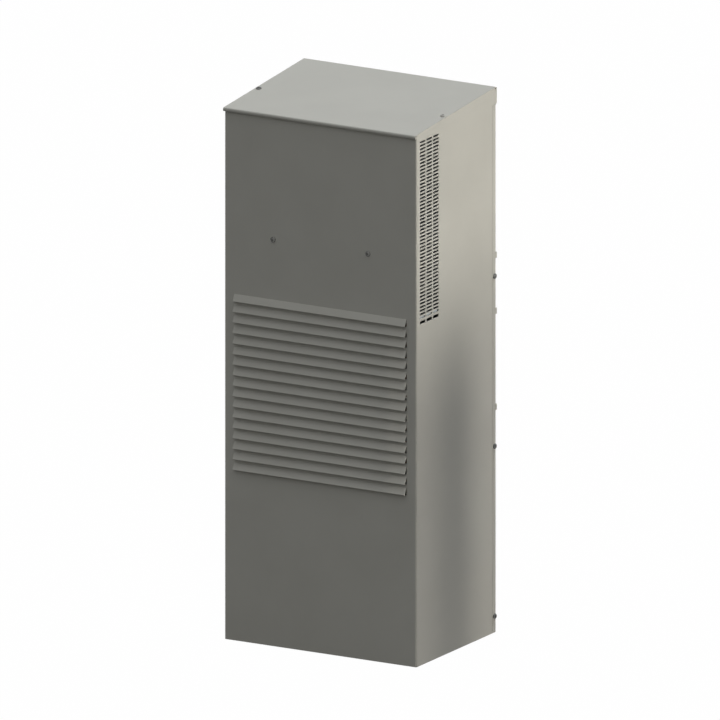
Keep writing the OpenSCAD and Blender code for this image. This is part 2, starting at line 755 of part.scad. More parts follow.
// Bell-mouth ring: the throat reaches down by throat_len from a flange whose near face is at 0
module inlet_ring() {
    t = inner_sheet;
    mid = throat_r - t / 2;
    rotate_extrude($fn = 96) polygon(strip(concat(
        [[mid, -throat_len]],
        arc([mid + ring_bend, t / 2 - ring_bend], ring_bend, 180, 90, 6),
        [[mid + ring_bend + ring_lip, t / 2]]
    ), t));
}

// Hat-shaped bracket in plan, its web's far face at y = 0 and its feet on the plane y = depth
module hat_plan(half, depth, foot) {
    t = inner_sheet / 2;
    left = [[-half - foot, depth - t], [-half - t, depth - t], [-half - t, -t]];
    polygon(strip(concat(left, [for (p = reversed(left)) [-p[0], p[1]]]), inner_sheet));
}

module fan_bracket(half, depth, foot, h) {
    window = h / 4;
    difference() {
        translate([0, 0, -h / 2]) linear_extrude(h) hat_plan(half, depth, foot);
        for (s = [-1, 1]) block([s * half - inner_sheet - over, depth * 0.2, -window],
                                [s * half + inner_sheet + over, depth * 0.75, window]);
    }
}

module fan_stator() {
    pack_r = rotor_r - rotor_wall - stator_pack_gap;
    difference() {
        union() {
            cylinder(r = stator_flange_r, h = stator_flange_t, $fn = 72);
            cylinder(r = post_r, h = rotor_end - rotor_wall - turn_gap);
            translate([0, 0, rotor_z + turn_gap])
                cylinder(r = pack_r, h = rotor_len - rotor_wall - 3 * turn_gap, $fn = 24);
        }
        translate([0, 0, -over]) cylinder(r = bearing_r, h = rotor_end + over);
    }
}

module fan_bearings() for (z = [stator_flange_t, rotor_end - rotor_wall - turn_gap - bearing_t])
    translate([0, 0, z]) difference() {
        cylinder(r = bearing_r - seat_gap / 2, h = bearing_t);
        translate([0, 0, -over]) cylinder(r = shaft_d / 2 + shaft_gap, h = bearing_t + 2 * over);
    }

module fan_shaft() translate([0, 0, stator_flange_t - turn_gap])
    cylinder(d = shaft_d, h = rotor_end - stator_flange_t + turn_gap);

module fan_rotor() difference() {
    translate([0, 0, rotor_z]) cylinder(r = rotor_r, h = rotor_len, $fn = 72);
    translate([0, 0, rotor_z - over])
        cylinder(r = rotor_r - rotor_wall, h = rotor_len - rotor_wall + over, $fn = 72);
    cylinder(r = shaft_d / 2 + shaft_gap, h = rotor_end + over);
}

// Backward-curved impeller: pot, back plate, blades trimmed to a conical shroud, and the shroud
module fan_impeller(r) {
    pot_r = rotor_r + hole_gap;
    pot_end = rotor_end + seat_gap;
    blade_in = eye_r * 0.85;
    rim_z = back_z + impeller_t + blade_h;
    shroud = [[r, rim_z], [eye_r + eye_rise, rim_z + eye_rise * 0.55], [eye_r, eye_z]];
    blade_top = eye_z - eye_lap - turn_gap;
    blade = [for (i = [0:8]) let (s = i / 8, a = -blade_sweep * s * (1.35 - 0.35 * s))
        (blade_in + (r - impeller_t / 2 - blade_in) * s) * [cos(a), sin(a)]];
    rotate_extrude($fn = 96) polygon([
        [pot_r, back_z], [r, back_z], [r, back_z + impeller_t], [pot_r + impeller_t, back_z + impeller_t],
        [pot_r + impeller_t, pot_end + impeller_t], [post_r, pot_end + impeller_t], [post_r, pot_end],
        [pot_r, pot_end]
    ]);
    rotate_extrude($fn = 96) polygon(strip(shroud, impeller_t));
    intersection() {
        translate([0, 0, back_z + impeller_t / 2]) linear_extrude(eye_z - back_z)
            for (i = [0:blade_count - 1]) rotate(360 * i / blade_count)
                polygon(strip(blade, impeller_t));
        rotate_extrude($fn = 96) polygon([
            [0, back_z], [r, back_z], shroud[0], shroud[1], [eye_r, blade_top], [0, blade_top]]);
    }
}

module at_cond_fan() along_y([0, bracket_web_y, cond_fan_z]) children();
module at_evap_fan() along_y([0, evap_bracket_y, evap_fan_z]) children();

cond_bracket_half = cond_fan_r + turn_gap * 4;
cond_bracket_h = 96;
cond_foot = 16;
cond_lead_gap = 10;
cond_lead_x = cond_bracket_half + cond_lead_gap;
cond_lead_y = deck_y - cond_lead_gap;

module condenser_inlet_ring() color(zinc)
    along_y([0, deck_back + seat_gap, cond_fan_z]) inlet_ring();

module condenser_fan_bracket() color(zinc) difference() {
    translate([0, bracket_web_y, cond_fan_z])
        fan_bracket(cond_bracket_half, deck_front - seat_gap - bracket_web_y, cond_foot, cond_bracket_h);
    for (s = [-1, 1]) along_y([s * front_screw_span / 2, bracket_web_y - inner_sheet - over, front_screw_z])
        cylinder(d = screw_d + 2 * hole_gap, h = inner_sheet + 2 * over);
}

module bracket_nuts() color(zinc) for (s = [-1, 1])
    along_y([s * front_screw_span / 2, bracket_web_y, front_screw_z]) difference() {
        nut_h = screw_d * 0.8;
        cylinder(d = screw_d * 2, h = nut_h, $fn = 6);
        translate([0, 0, -over]) cylinder(d = screw_d + 2 * shaft_gap, h = nut_h + 2 * over);
    }

module condenser_stator() color(alloy) at_cond_fan() fan_stator();
module condenser_bearings() color(alloy) at_cond_fan() fan_bearings();
module condenser_shaft() color(alloy) at_cond_fan() fan_shaft();
module condenser_rotor() color(black) at_cond_fan() fan_rotor();
module condenser_impeller() color(black) at_cond_fan() fan_impeller(cond_fan_r);

module evaporator_inlet_ring() color(zinc)
    along_y([0, evap_flange_y, evap_fan_z]) inlet_ring();
module evaporator_fan_bracket() color(zinc) {
    depth = evap_bracket_y - foam_y;
    translate([0, evap_bracket_y, evap_fan_z]) mirror([0, 1, 0]) translate([0, inner_sheet, 0])
        fan_bracket(evap_bracket_half, depth - inner_sheet, evap_foot, evap_bracket_h);
}
module evaporator_stator() color(alloy) at_evap_fan() fan_stator();
module evaporator_bearings() color(alloy) at_evap_fan() fan_bearings();
module evaporator_shaft() color(alloy) at_evap_fan() fan_shaft();
module evaporator_rotor() color(black) at_evap_fan() fan_rotor();
module evaporator_impeller() color(black) at_evap_fan() fan_impeller(evap_fan_r);

// Guard of round wires over the air inlet
module inlet_guard() color(zinc) along_y([0, evap_ring_y - guard_wire / 2 - seat_gap, evap_fan_z]) {
    rim_r = inlet_d / 2 + guard_wire * 1.5;
    rings = 4;
    for (i = [1:rings]) rotate_extrude() translate([rim_r * i / rings, 0]) circle(d = guard_wire, $fn = 24);
    for (a = [0, 90]) rotate([90, 0, a + 45]) translate([0, 0, -rim_r])
        cylinder(d = guard_wire * 0.8, h = 2 * rim_r, $fn = 24);
}

// Filter and coils

filter_rim = 12;
filter_half = coil_half + plate_gap * 4;

module filter_frame() color(alloy) extrude_y(filter_y, filter_y + filter_t) difference() {
    translate([-filter_half, cond_bottom]) square([2 * filter_half, cond_h]);
    translate([filter_rim - filter_half, cond_bottom + filter_rim])
        square([2 * (filter_half - filter_rim), cond_h - 2 * filter_rim]);
}

module filter_pad() color(foam)
    block([filter_rim - filter_half + seat_gap, filter_y + seat_gap, cond_bottom + filter_rim + seat_gap],
          [filter_half - filter_rim - seat_gap, filter_y + filter_t - seat_gap,
           cond_top - filter_rim - seat_gap]);

// Tube centres of a coil in Y and Z, zigzag between two columns
function tube_places(y, z0, step, n) = [
    for (i = [0:n - 1]) [y + (fin_depth + (i % 2 == 0 ? -1 : 1) * tube_col_pitch) / 2, z0 + i * step]
];

module fin_outline(y, z, h, places) difference() {
    translate([y, z]) square([fin_depth, h]);
    for (p = places) translate(p) circle(d = coil_tube_d + 2 * tube_gap, $fn = 24);
}

module coil_fins(y, z, h, places) {
    count = floor(coil_half / fin_pitch);
    for (i = [-count:count]) extrude_x(i * fin_pitch - fin_t / 2, i * fin_pitch + fin_t / 2)
        fin_outline(y, z, h, places);
}

// U-shaped return bend with straight legs that plug into the belled ends of two tubes
module return_bend(span) {
    d = coil_tube_d - 2 * bell_t;
    rotate_extrude(angle = 180) translate([span / 2, 0]) circle(d = d);
    for (s = [-1, 1]) translate([s * span / 2, 0, 0]) rotate([90, 0, 0])
        cylinder(d = d, h = bell_out + bell_in);
}

// Straight runs across, joined by return bends at alternate ends
module coil_serpentine(places) {
    last = len(places) - 1;
    for (p = places) along_x([-tube_end, p[0], p[1]]) cylinder(d = coil_tube_d, h = 2 * tube_end);
    for (i = [0:last - 1]) {
        s = i % 2 == 0 ? 1 : -1;
        a = [0, places[i][0], places[i][1]];
        b = [0, places[i + 1][0], places[i + 1][1]];
        c = (a + b) / 2 + [s * (tube_end + bell_out), 0, 0];
        u = unit(a - b);
        v = [s, 0, 0];
        n = cross(u, v);
        multmatrix([[u[0], v[0], n[0], c[0]], [u[1], v[1], n[1], c[1]],
                    [u[2], v[2], n[2], c[2]], [0, 0, 0, 1]])
            return_bend(norm(a - b));
    }
}

// End plates with an outward flange, shorter than the plate, that meets the wall beside the coil
module coil_end_plates(y, z, h, places) {
    x0 = coil_half + plate_gap;
    x1 = x0 + inner_sheet;
    flange_end = fin_edge * 3;
    both_sides() {
        extrude_x(x0, x1) fin_outline(y, z, h, places);
        block([x1 - inner_sheet / 2, y + fin_depth - inner_sheet, z + flange_end],
              [chassis_in - seat_gap, y + fin_depth, z + h - flange_end]);
    }
}

cond_places = tube_places(coil_y, cond_top - fin_edge, -cond_tube_step, cond_tubes);
evap_places = tube_places(evap_y, evap_bottom + fin_edge, evap_tube_step, evap_tubes);

module condenser_fins() color(alloy) coil_fins(coil_y, cond_bottom, cond_h, cond_places);
module condenser_tubes() color(copper) coil_serpentine(cond_places);
module condenser_end_plates() color(zinc) coil_end_plates(coil_y, cond_bottom, cond_h, cond_places);
module evaporator_fins() color(alloy) coil_fins(evap_y, evap_bottom, evap_h, evap_places);
module evaporator_tubes() color(copper) coil_serpentine(evap_places);
module evaporator_end_plates() color(zinc) coil_end_plates(evap_y, evap_bottom, evap_h, evap_places);

module coil_baffle() color(zinc) difference() {
    y0 = foam_y + foam_t + seat_gap;
    z = evap_bottom + evap_h + plate_gap;
    block([seat_gap - chassis_in, y0, z], [chassis_in - seat_gap, evap_y + fin_depth, z + inner_sheet]);
    translate([lead_x, lead_y, z - over]) cylinder(d = lead_d + 4 * tube_gap, h = inner_sheet + 2 * over);
}

module drain_pan() color(alloy) {
    half = chassis_in - seat_gap * 2;
    y1 = rear_in - seat_gap * 2;
    difference() {
        union() {
            difference() {
                block([-half, drain_front, drain_z], [half, y1, drain_z + drain_pan_h]);
                block([inner_sheet - half, drain_front + inner_sheet, drain_z + inner_sheet],
                      [half - inner_sheet, y1 - inner_sheet, drain_z + drain_pan_h + over]);
            }
            translate([drain_x, drain_y, drain_z - fin_edge])
                cylinder(r = drain_r - drain_wall - tube_gap, h = fin_edge + inner_sheet);
        }
        translate([drain_x, drain_y, drain_z - fin_edge - over])
            cylinder(r = drain_r - 2 * drain_wall - tube_gap, h = drain_pan_h + fin_edge);
    }
}

module drain_tube() color(rubber) translate([drain_x, drain_y, 0]) difference() {
    length = drain_z - seat_gap;
    cylinder(r = drain_r, h = length);
    translate([0, 0, -over]) cylinder(r = drain_r - drain_wall, h = length + 2 * over);
}

// Compressor and refrigerant circuit

shell_fillet = 22;
grommet_r = 11;
grommet_neck = 9;
terminal_d = 30;
terminal_h = 20;
terminal_r = 5;
terminal_side = 17;
terminal_x = shell_x + terminal_side;
discharge_x = shell_x - shell_fillet;
discharge_rise = 32;
acc_gap = 2;
acc_x = shell_x + shell_d / 2 + acc_gap + acc_d / 2;
acc_z = 50;
drier_side = 34.5;
drier_x = drier_side - chassis_in;
drier_back = 22;
drier_y = shell_y - drier_back;
drier_z = 116;

module vessel(d, h, end_r) rotate_extrude($fn = 72) {
    r = d / 2;
    square([r - end_r, h]);
    translate([0, end_r]) square([r, h - 2 * end_r]);
    for (z = [end_r, h - end_r]) intersection() {
        translate([r - end_r, z]) circle(end_r);
        square([r, h]);
    }
}

module compressor_shell() color(black) {
    band_h = 4;
    translate([shell_x, shell_y, shell_z]) {
        vessel(shell_d, shell_h, shell_fillet);
        translate([0, 0, shell_h - shell_fillet - band_h])
            cylinder(d = shell_d + acc_gap, h = band_h, $fn = 72);
    }
}

module compressor_foot() color(black) difference() {
    translate([shell_x, shell_y, foot_z]) linear_extrude(foot_t) {
        circle(r = shell_d / 2 - shell_fillet / 2);
        for (a = foot_angles) rotate(a) {
            translate([0, -grommet_r]) square([foot_r, 2 * grommet_r]);
            translate([foot_r, 0]) circle(r = grommet_r + foot_t);
        }
    }
    at_feet() cylinder(r = grommet_neck, h = foot_z + foot_t);
}

module compressor_grommets() color(rubber) at_feet() {
    z0 = foot_z - sheet;
    z1 = z0 + foot_t;
    rotate_extrude() polygon([
        [bolt_r + seat_gap, 0], [grommet_r, 0], [grommet_r, z0 - seat_gap],
        [grommet_neck - seat_gap, z0 - seat_gap], [grommet_neck - seat_gap, z1 + seat_gap],
        [grommet_r, z1 + seat_gap], [grommet_r - foot_t / 2, z1 + foot_t], [bolt_r + seat_gap, z1 + foot_t]
    ]);
}

module compressor_bolts() color(zinc) at_feet() {
    washer_z = foot_z - sheet + 2 * foot_t + seat_gap;
    washer_t = 1.5;
    cylinder(r = bolt_r, h = washer_z + bolt_r * 3);
    translate([0, 0, washer_z]) cylinder(r = grommet_neck, h = washer_t);
    translate([0, 0, washer_z + washer_t]) cylinder(r = bolt_r * 1.9, h = bolt_r * 1.6, $fn = 6);
}

module terminal_cover() color(black) translate([terminal_x, shell_y, shell_top + seat_gap])
    vessel(terminal_d, terminal_h, terminal_r);

module suction_accumulator() color(black) {
    translate([acc_x, shell_y, acc_z]) vessel(acc_d, acc_h, acc_d / 3);
    tube_path([[acc_x, shell_y, acc_z + over], [acc_x, shell_y, acc_z - 2 * pipe_bend],
               [shell_x + shell_d / 2 + hole_gap, shell_y, acc_z - 2 * pipe_bend]], coil_tube_d, pipe_bend);
}

module accumulator_strap() color(zinc) {
    strap_h = 14;
    translate([0, 0, acc_z + acc_h / 2]) difference() {
        union() {
            translate([acc_x, shell_y, 0]) cylinder(d = acc_d + 2 * seat_gap + 2 * sheet, h = strap_h);
            block([shell_x + shell_d / 2 - acc_gap, shell_y - strap_h / 2, 0],
                  [acc_x - acc_d / 2, shell_y + strap_h / 2, strap_h]);
        }
        translate([acc_x, shell_y, -over]) cylinder(d = acc_d + 2 * seat_gap, h = strap_h + 2 * over);
        translate([shell_x, shell_y, -over])
            cylinder(d = shell_d + 2 * seat_gap, h = strap_h + 2 * over, $fn = 72);
    }
}

module discharge_pipe() color(copper) {
    p = cond_places[0];
    run_z = shell_top + discharge_rise;
    x = -tube_end - port_out;
    tube_path([[discharge_x, shell_y, shell_top + seat_gap], [discharge_x, shell_y, run_z],
               [x, shell_y, run_z], [x, shell_y, p[1]], [x, p[0], p[1]],
               [-tube_end - seat_gap, p[0], p[1]]], pipe_d, pipe_bend);
}

module liquid_pipe() color(copper) {
    p = cond_places[cond_tubes - 1];
    x = -tube_end - port_out;
    tube_path([[-tube_end - seat_gap, p[0], p[1]], [x, p[0], p[1]], [x, drier_y, p[1]],
               [drier_x, drier_y, p[1]], [drier_x, drier_y, drier_z + drier_len + seat_gap]],
              pipe_d, pipe_bend);
}

module filter_drier() color(copper) translate([drier_x, drier_y, drier_z]) {
    neck = pipe_d / 2;
    body = drier_d / 2;
    cone = drier_d * 0.7;
    rotate_extrude() polygon([
        [0, 0], [neck, 0], [neck, neck], [body, cone], [body, drier_len - cone], [neck, drier_len - neck],
        [neck, drier_len], [0, drier_len]
    ]);
}

capillary_r = 14;
capillary_pitch = 8;
capillary_bend = 5;

module capillary_tube() color(copper) {
    p = evap_places[0];
    lead_in = 10;
    top = drier_z - lead_in;
    steps = 14;
    axis = [drier_x - capillary_r, drier_y];
    coil = [for (i = [0:capillary_turns * steps]) let (a = -360 * i / steps)
        [axis[0] + capillary_r * cos(a), axis[1] + capillary_r * sin(a), top - capillary_pitch * i / steps]];
    low = coil[len(coil) - 1];
    back_y = low[1] + lead_in * 3.2;
    route = [low, [capillary_x, back_y, low[2]], [capillary_x, back_y, capillary_port_z],
             [capillary_x, foam_y + foam_t + lead_in, capillary_port_z],
             [capillary_x, foam_y + foam_t + lead_in, p[1]], [capillary_x, p[0], p[1]],
             [-tube_end - seat_gap, p[0], p[1]]];
    tail = rounded(route, capillary_bend, 4);
    swept(concat([[drier_x, drier_y, drier_z - seat_gap]], coil, [for (i = [1:len(tail) - 1]) tail[i]]),
          capillary_d, 8);
}

module suction_pipe() color(copper) {
    p = evap_places[evap_tubes - 1];
    tube_path([[tube_end + seat_gap, p[0], p[1]], [suction_x, p[0], p[1]], [suction_x, suction_y, p[1]],
               [suction_x, suction_y, suction_z], [suction_x, shell_y, suction_z],
               [acc_x, shell_y, suction_z], [acc_x, shell_y, acc_z + acc_h + seat_gap]],
              coil_tube_d, pipe_bend);
}

// Electrical parts

box_w = box_share * case_w;
box_x1 = chassis_in - seat_gap;
box_x0 = box_x1 - box_w;
box_room = 4;
box_y0 = front_in + box_room;
box_y1 = box_y0 + box_d;
box_z0 = pan_h + box_room;
box_z1 = box_z0 + box_h;
box_back = box_y1 - inner_sheet;
standoff_h = 5;
board_t = 1.6;
board_y = box_back - standoff_h - board_t;
board_margin = 6;
transformer_h = 22;
relay_h = 15;
terminal_strip_h = 9;
board_z0 = box_z0 + box_h / 2;

module control_box() color(zinc) difference() {
    block([box_x0, box_y0, box_z0], [box_x1, box_y1, box_z1]);
    block([box_x0 + inner_sheet, box_y0 - over, box_z0 + inner_sheet],
          [box_x1 - inner_sheet, box_back, box_z1 - inner_sheet]);
}

module control_box_lid() color(zinc)
    block([box_x0, box_y0 - seat_gap - inner_sheet, box_z0], [box_x1, box_y0 - seat_gap, box_z1]);

module control_board() color("#2E6B3F") {
    x0 = box_x0 + board_margin;
    x1 = box_x1 - board_margin;
    z1 = box_z1 - board_margin;
    block([x0, board_y, board_z0], [x1, board_y + board_t, z1]);
    unit_w = (x1 - x0) / 8;
    block([x0 + unit_w, board_y - transformer_h, z1 - unit_w * 4],
          [x0 + unit_w * 4, board_y + over / 2, z1 - unit_w]);
    for (i = [0:1]) block([x0 + unit_w * (5 + i * 1.4), board_y - relay_h, z1 - unit_w * 3],
                          [x0 + unit_w * (6 + i * 1.4), board_y + over / 2, z1 - unit_w]);
    block([x0 + unit_w, board_y - terminal_strip_h, board_z0 + unit_w / 2],
          [x1 - unit_w, board_y + over / 2, board_z0 + unit_w * 1.5]);
}

module board_standoffs() color(brass)
    for (x = [box_x0 + board_margin * 1.8, box_x1 - board_margin * 1.8],
         z = [board_z0 + board_margin, box_z1 - board_margin * 2])
        along_y([x, board_y + board_t, z]) cylinder(r = board_margin / 2.4, h = standoff_h);

module run_capacitor() color(alloy)
    translate([box_x0 + inner_sheet + seat_gap * 5 + capacitor_d / 2, box_y0 + box_d / 2,
               box_z0 + inner_sheet + seat_gap]) vessel(capacitor_d, box_h * 0.36, 3);

contactor_gap = 3;
contact_deep = 6;

module contactor() color("#D9D5C8") {
    w = box_w * 0.44;
    x1 = box_x1 - inner_sheet - contactor_gap;
    z = box_z0 + box_h * 0.1;
    depth = box_d * 0.6;
    y = box_back - seat_gap;
    difference() {
        block([x1 - w, y - depth, z], [x1, y, z + w * 1.3]);
        for (i = [0:2], k = [0, 1])
            block([x1 - w * (0.9 - i * 0.3), y - depth - over, z + w * (0.1 + k * 0.85)],
                  [x1 - w * (0.7 - i * 0.3), y - depth + contact_deep, z + w * (0.35 + k * 0.85)]);
    }
}

module power_socket() color(black) difference() {
    union() {
        block([socket_x - socket_w / 2, rear_y - socket_depth, socket_z - socket_h / 2],
              [socket_x + socket_w / 2, rear_y + seat_gap, socket_z + socket_h / 2]);
        block([socket_x - socket_w / 2 - socket_flange, rear_y, socket_z - socket_h / 2 - socket_flange],
              [socket_x + socket_w / 2 + socket_flange, rear_y + socket_flange / 2,
               socket_z + socket_h / 2 + socket_flange]);
    }
    for (i = [-1:1]) along_y([socket_x + i * socket_w / 3.5, rear_y - socket_depth / 2, socket_z])
        cylinder(r = socket_h / 6, h = socket_depth);
}

// Inner leads, each a soft tube along its own route
lead_bend = 8;
lead_rise = 14;
compressor_lead_in = 42;
compressor_lead_y = shell_y - compressor_lead_in;
compressor_lead_z = shell_top + seat_gap + terminal_r * 1.2;
cond_lead_low = stator_flange_r + 2 * cond_lead_gap;
web_lead_gap = lead_d / 2 + seat_gap;

module wiring() color(rubber) {
    low_y = lower_wall_y + lead_rise;
    start_y = box_y1 - box_d / 4;
    cond_web_y = bracket_web_y + web_lead_gap;
    evap_web_y = evap_bracket_y + web_lead_gap;
    power = [[power_lead_x, box_y1 + seat_gap, power_lead_z], [power_lead_x, low_y, power_lead_z],
             [power_lead_x, low_y, socket_z], [power_lead_x, rear_y - socket_depth - seat_gap, socket_z]];
    compressor = [[box_x0 - seat_gap, compressor_lead_y, compressor_lead_z],
                  [terminal_x, compressor_lead_y, compressor_lead_z],
                  [terminal_x, shell_y - terminal_d / 2 - seat_gap, compressor_lead_z]];
    cond_fan = [[cond_lead_x, start_y, box_z1 + seat_gap], [cond_lead_x, start_y, box_z1 + lead_rise],
                [cond_lead_x, cond_lead_y, box_z1 + lead_rise],
                [cond_lead_x, cond_lead_y, cond_fan_z - cond_lead_low],
                [cond_lead_x, cond_web_y, cond_fan_z - cond_lead_low],
                [0, cond_web_y, cond_fan_z - cond_lead_low],
                [0, cond_web_y, cond_fan_z - stator_flange_r - seat_gap]];
    evap_fan = [[lead_x, box_y1 + seat_gap, fan_lead_z], [lead_x, lead_y, fan_lead_z],
                [lead_x, lead_y, evap_fan_z], [lead_x, evap_web_y, evap_fan_z],
                [stator_flange_r + seat_gap, evap_web_y, evap_fan_z]];
    for (p = [power, compressor, cond_fan, evap_fan]) swept(rounded(p, lead_bend, 4), lead_d, 8);
}

cover();
roof_panel();
rear_panel();
base_pan();
rear_gasket();
mounting_inserts();
side_screws();
front_screws();
roof_screws();
partition_tub();
tub_insulation();
side_cheeks();
fan_deck();
condenser_inlet_ring();
condenser_fan_bracket();
bracket_nuts();
condenser_stator();
condenser_bearings();
condenser_shaft();
condenser_rotor();
condenser_impeller();
filter_frame();
filter_pad();
condenser_fins();
condenser_tubes();
condenser_end_plates();
compressor_shell();
compressor_foot();
compressor_grommets();
compressor_bolts();
terminal_cover();
suction_accumulator();
accumulator_strap();
discharge_pipe();
liquid_pipe();
filter_drier();
capillary_tube();
suction_pipe();
evaporator_fins();
evaporator_tubes();
evaporator_end_plates();
coil_baffle();
drain_pan();
drain_tube();
evaporator_inlet_ring();
inlet_guard();
evaporator_fan_bracket();
evaporator_stator();
evaporator_bearings();
evaporator_shaft();
evaporator_rotor();
evaporator_impeller();
control_box();
control_box_lid();
control_board();
board_standoffs();
run_capacitor();
contactor();
power_socket();
wiring();
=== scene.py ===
# %% [markdown]
# # A wall-mounted cooling unit for cabinets
# The real object is a narrow powder-coated steel box. A louvred front lets room air in, slotted
# sides let it out, and a hidden second air path at the back cools the cabinet that the unit hangs on.
# The exact model already holds every rigid part. This script gives each of them the finish that its
# maker would give it, remakes the soft parts as soft parts, and lights the whole as in a studio.

# %% Load the exact model
import math

import bmesh
import bpy
import numpy as np
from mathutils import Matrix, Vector, geometry


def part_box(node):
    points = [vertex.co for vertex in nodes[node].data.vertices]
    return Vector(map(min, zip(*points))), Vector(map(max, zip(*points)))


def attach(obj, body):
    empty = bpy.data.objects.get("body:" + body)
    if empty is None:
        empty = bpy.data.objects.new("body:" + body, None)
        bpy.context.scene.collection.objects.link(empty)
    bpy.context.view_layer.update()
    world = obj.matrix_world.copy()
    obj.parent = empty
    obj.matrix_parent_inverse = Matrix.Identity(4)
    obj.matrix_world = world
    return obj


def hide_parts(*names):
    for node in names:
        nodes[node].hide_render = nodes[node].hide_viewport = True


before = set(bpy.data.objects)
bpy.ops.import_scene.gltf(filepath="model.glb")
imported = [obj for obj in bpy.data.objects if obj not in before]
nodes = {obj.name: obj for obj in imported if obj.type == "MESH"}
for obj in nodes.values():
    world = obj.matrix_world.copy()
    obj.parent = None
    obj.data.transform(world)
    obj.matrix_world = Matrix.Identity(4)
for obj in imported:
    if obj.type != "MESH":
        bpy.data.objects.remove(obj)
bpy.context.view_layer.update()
MM = 0.001

# %% [markdown]
# ## The camera
# The photograph is a parallel projection, as a catalogue drawing is: vertical edges stay parallel and
# nothing shrinks with distance. An orthographic camera gives that. It looks from 30 degrees to the
# right of the front and 15 degrees down, and its width in metres follows from the width of the casing
# on the picture.

# %% Camera
VIEW_AZIMUTH = math.radians(30)
VIEW_ELEVATION = math.radians(15)
PICTURE_PIXELS, PIXEL_MM = 720, 1.3768
FRAME_WIDTH = PICTURE_PIXELS * PIXEL_MM * MM
AIM = Vector((62.9, -110.0, 426.3)) * MM
CAMERA_DISTANCE = 3.0

camera_data = bpy.data.cameras.new("catalogue_camera")
camera_data.type = "ORTHO"
camera_data.ortho_scale = FRAME_WIDTH
camera = bpy.data.objects.new("catalogue_camera", camera_data)
towards_viewer = Vector((
    math.sin(VIEW_AZIMUTH) * math.cos(VIEW_ELEVATION),
    -math.cos(VIEW_AZIMUTH) * math.cos(VIEW_ELEVATION),
    math.sin(VIEW_ELEVATION),
))
camera.location = AIM + towards_viewer * CAMERA_DISTANCE
camera.rotation_euler = towards_viewer.to_track_quat("Z", "Y").to_euler()
bpy.context.scene.collection.objects.link(camera)
bpy.context.scene.camera = camera
bpy.context.scene.view_settings.view_transform = "Standard"
print("camera at", tuple(round(v, 3) for v in camera.location))

# %% [markdown]
# ## Colours and nodes
# Paint charts give colours as sRGB hex values, but the renderer works with linear light, so one
# function turns one into the other. A second one adds a shader node with its settings and links,
# which keeps each finish below short enough to read as a recipe.


# %% Helpers for materials
def linear(hex_colour):
    """sRGB hex to linear RGBA: a value under 0.04045 is divided by 12.92, the rest is a 2.4 power."""
    channels = np.array([int(hex_colour[i:i + 2], 16) for i in (1, 3, 5)]) / 255
    low, high = channels / 12.92, ((channels + 0.055) / 1.055) ** 2.4
    return [*(float(v) for v in np.where(channels <= 0.04045, low, high)), 1.0]


def add(tree, kind, inputs=None, **settings):
    """Adds one node. A value for a socket is set on it, and a socket given as a value is linked to it."""
    node = tree.nodes.new("ShaderNode" + kind)
    for name, value in settings.items():
        setattr(node, name, value)
    for name, value in (inputs or {}).items():
        socket = node.inputs[name]
        if isinstance(value, bpy.types.NodeSocket):
            tree.links.new(value, socket)
        else:
            socket.default_value = value
    return node


def start_material(name, **shader_inputs):
    """A new material with its Principled shader and the place of each point in metres."""
    material = bpy.data.materials.new(name)
    material.use_nodes = True
    tree = material.node_tree
    shader = tree.nodes["Principled BSDF"]
    for socket, value in shader_inputs.items():
        shader.inputs[socket.replace("_", " ")].default_value = value
    place = add(tree, "TexCoord").outputs["Object"]
    return material, tree, shader, place


def per_metre(size_mm):
    """The scale of a texture whose features are that many millimetres apart."""
    return 1000.0 / size_mm


def mix_colour(tree, factor, dark, light):
    """Blends two hex colours, or sockets, by a factor from 0 to 1."""
    node = add(tree, "Mix", data_type="RGBA")
    for slot, value in ((0, factor), (6, dark), (7, light)):
        if isinstance(value, bpy.types.NodeSocket):
            tree.links.new(value, node.inputs[slot])
        else:
            node.inputs[slot].default_value = linear(value) if isinstance(value, str) else value
    return node.outputs[2]


def remap(tree, value, low, high, new_low, new_high):
    """Moves a value from one range to another, held at the ends."""
    return add(tree, "MapRange", {"Value": value, "From Min": low, "From Max": high,
                                  "To Min": new_low, "To Max": new_high}).outputs["Result"]


# %% [markdown]
# ## Powder coat on steel
# The casing is mild steel with a light warm grey polyester powder coat. The powder melts in an oven
# and sets with a faint orange peel about a millimetre and a half across, and with tiny pinhead dots.
# It is satin: the light spreads wide but a soft sheen stays. Sharp edges are painted a touch paler, a
# painted highlight on the bends, so the recipe compares the true normal with a rounded one to find them.

# %% Powder coat
PEEL_MM = 1.6
GRAIN_MM = 0.45
CLOUD_MM = 90
EDGE_RADIUS = 0.3 * MM


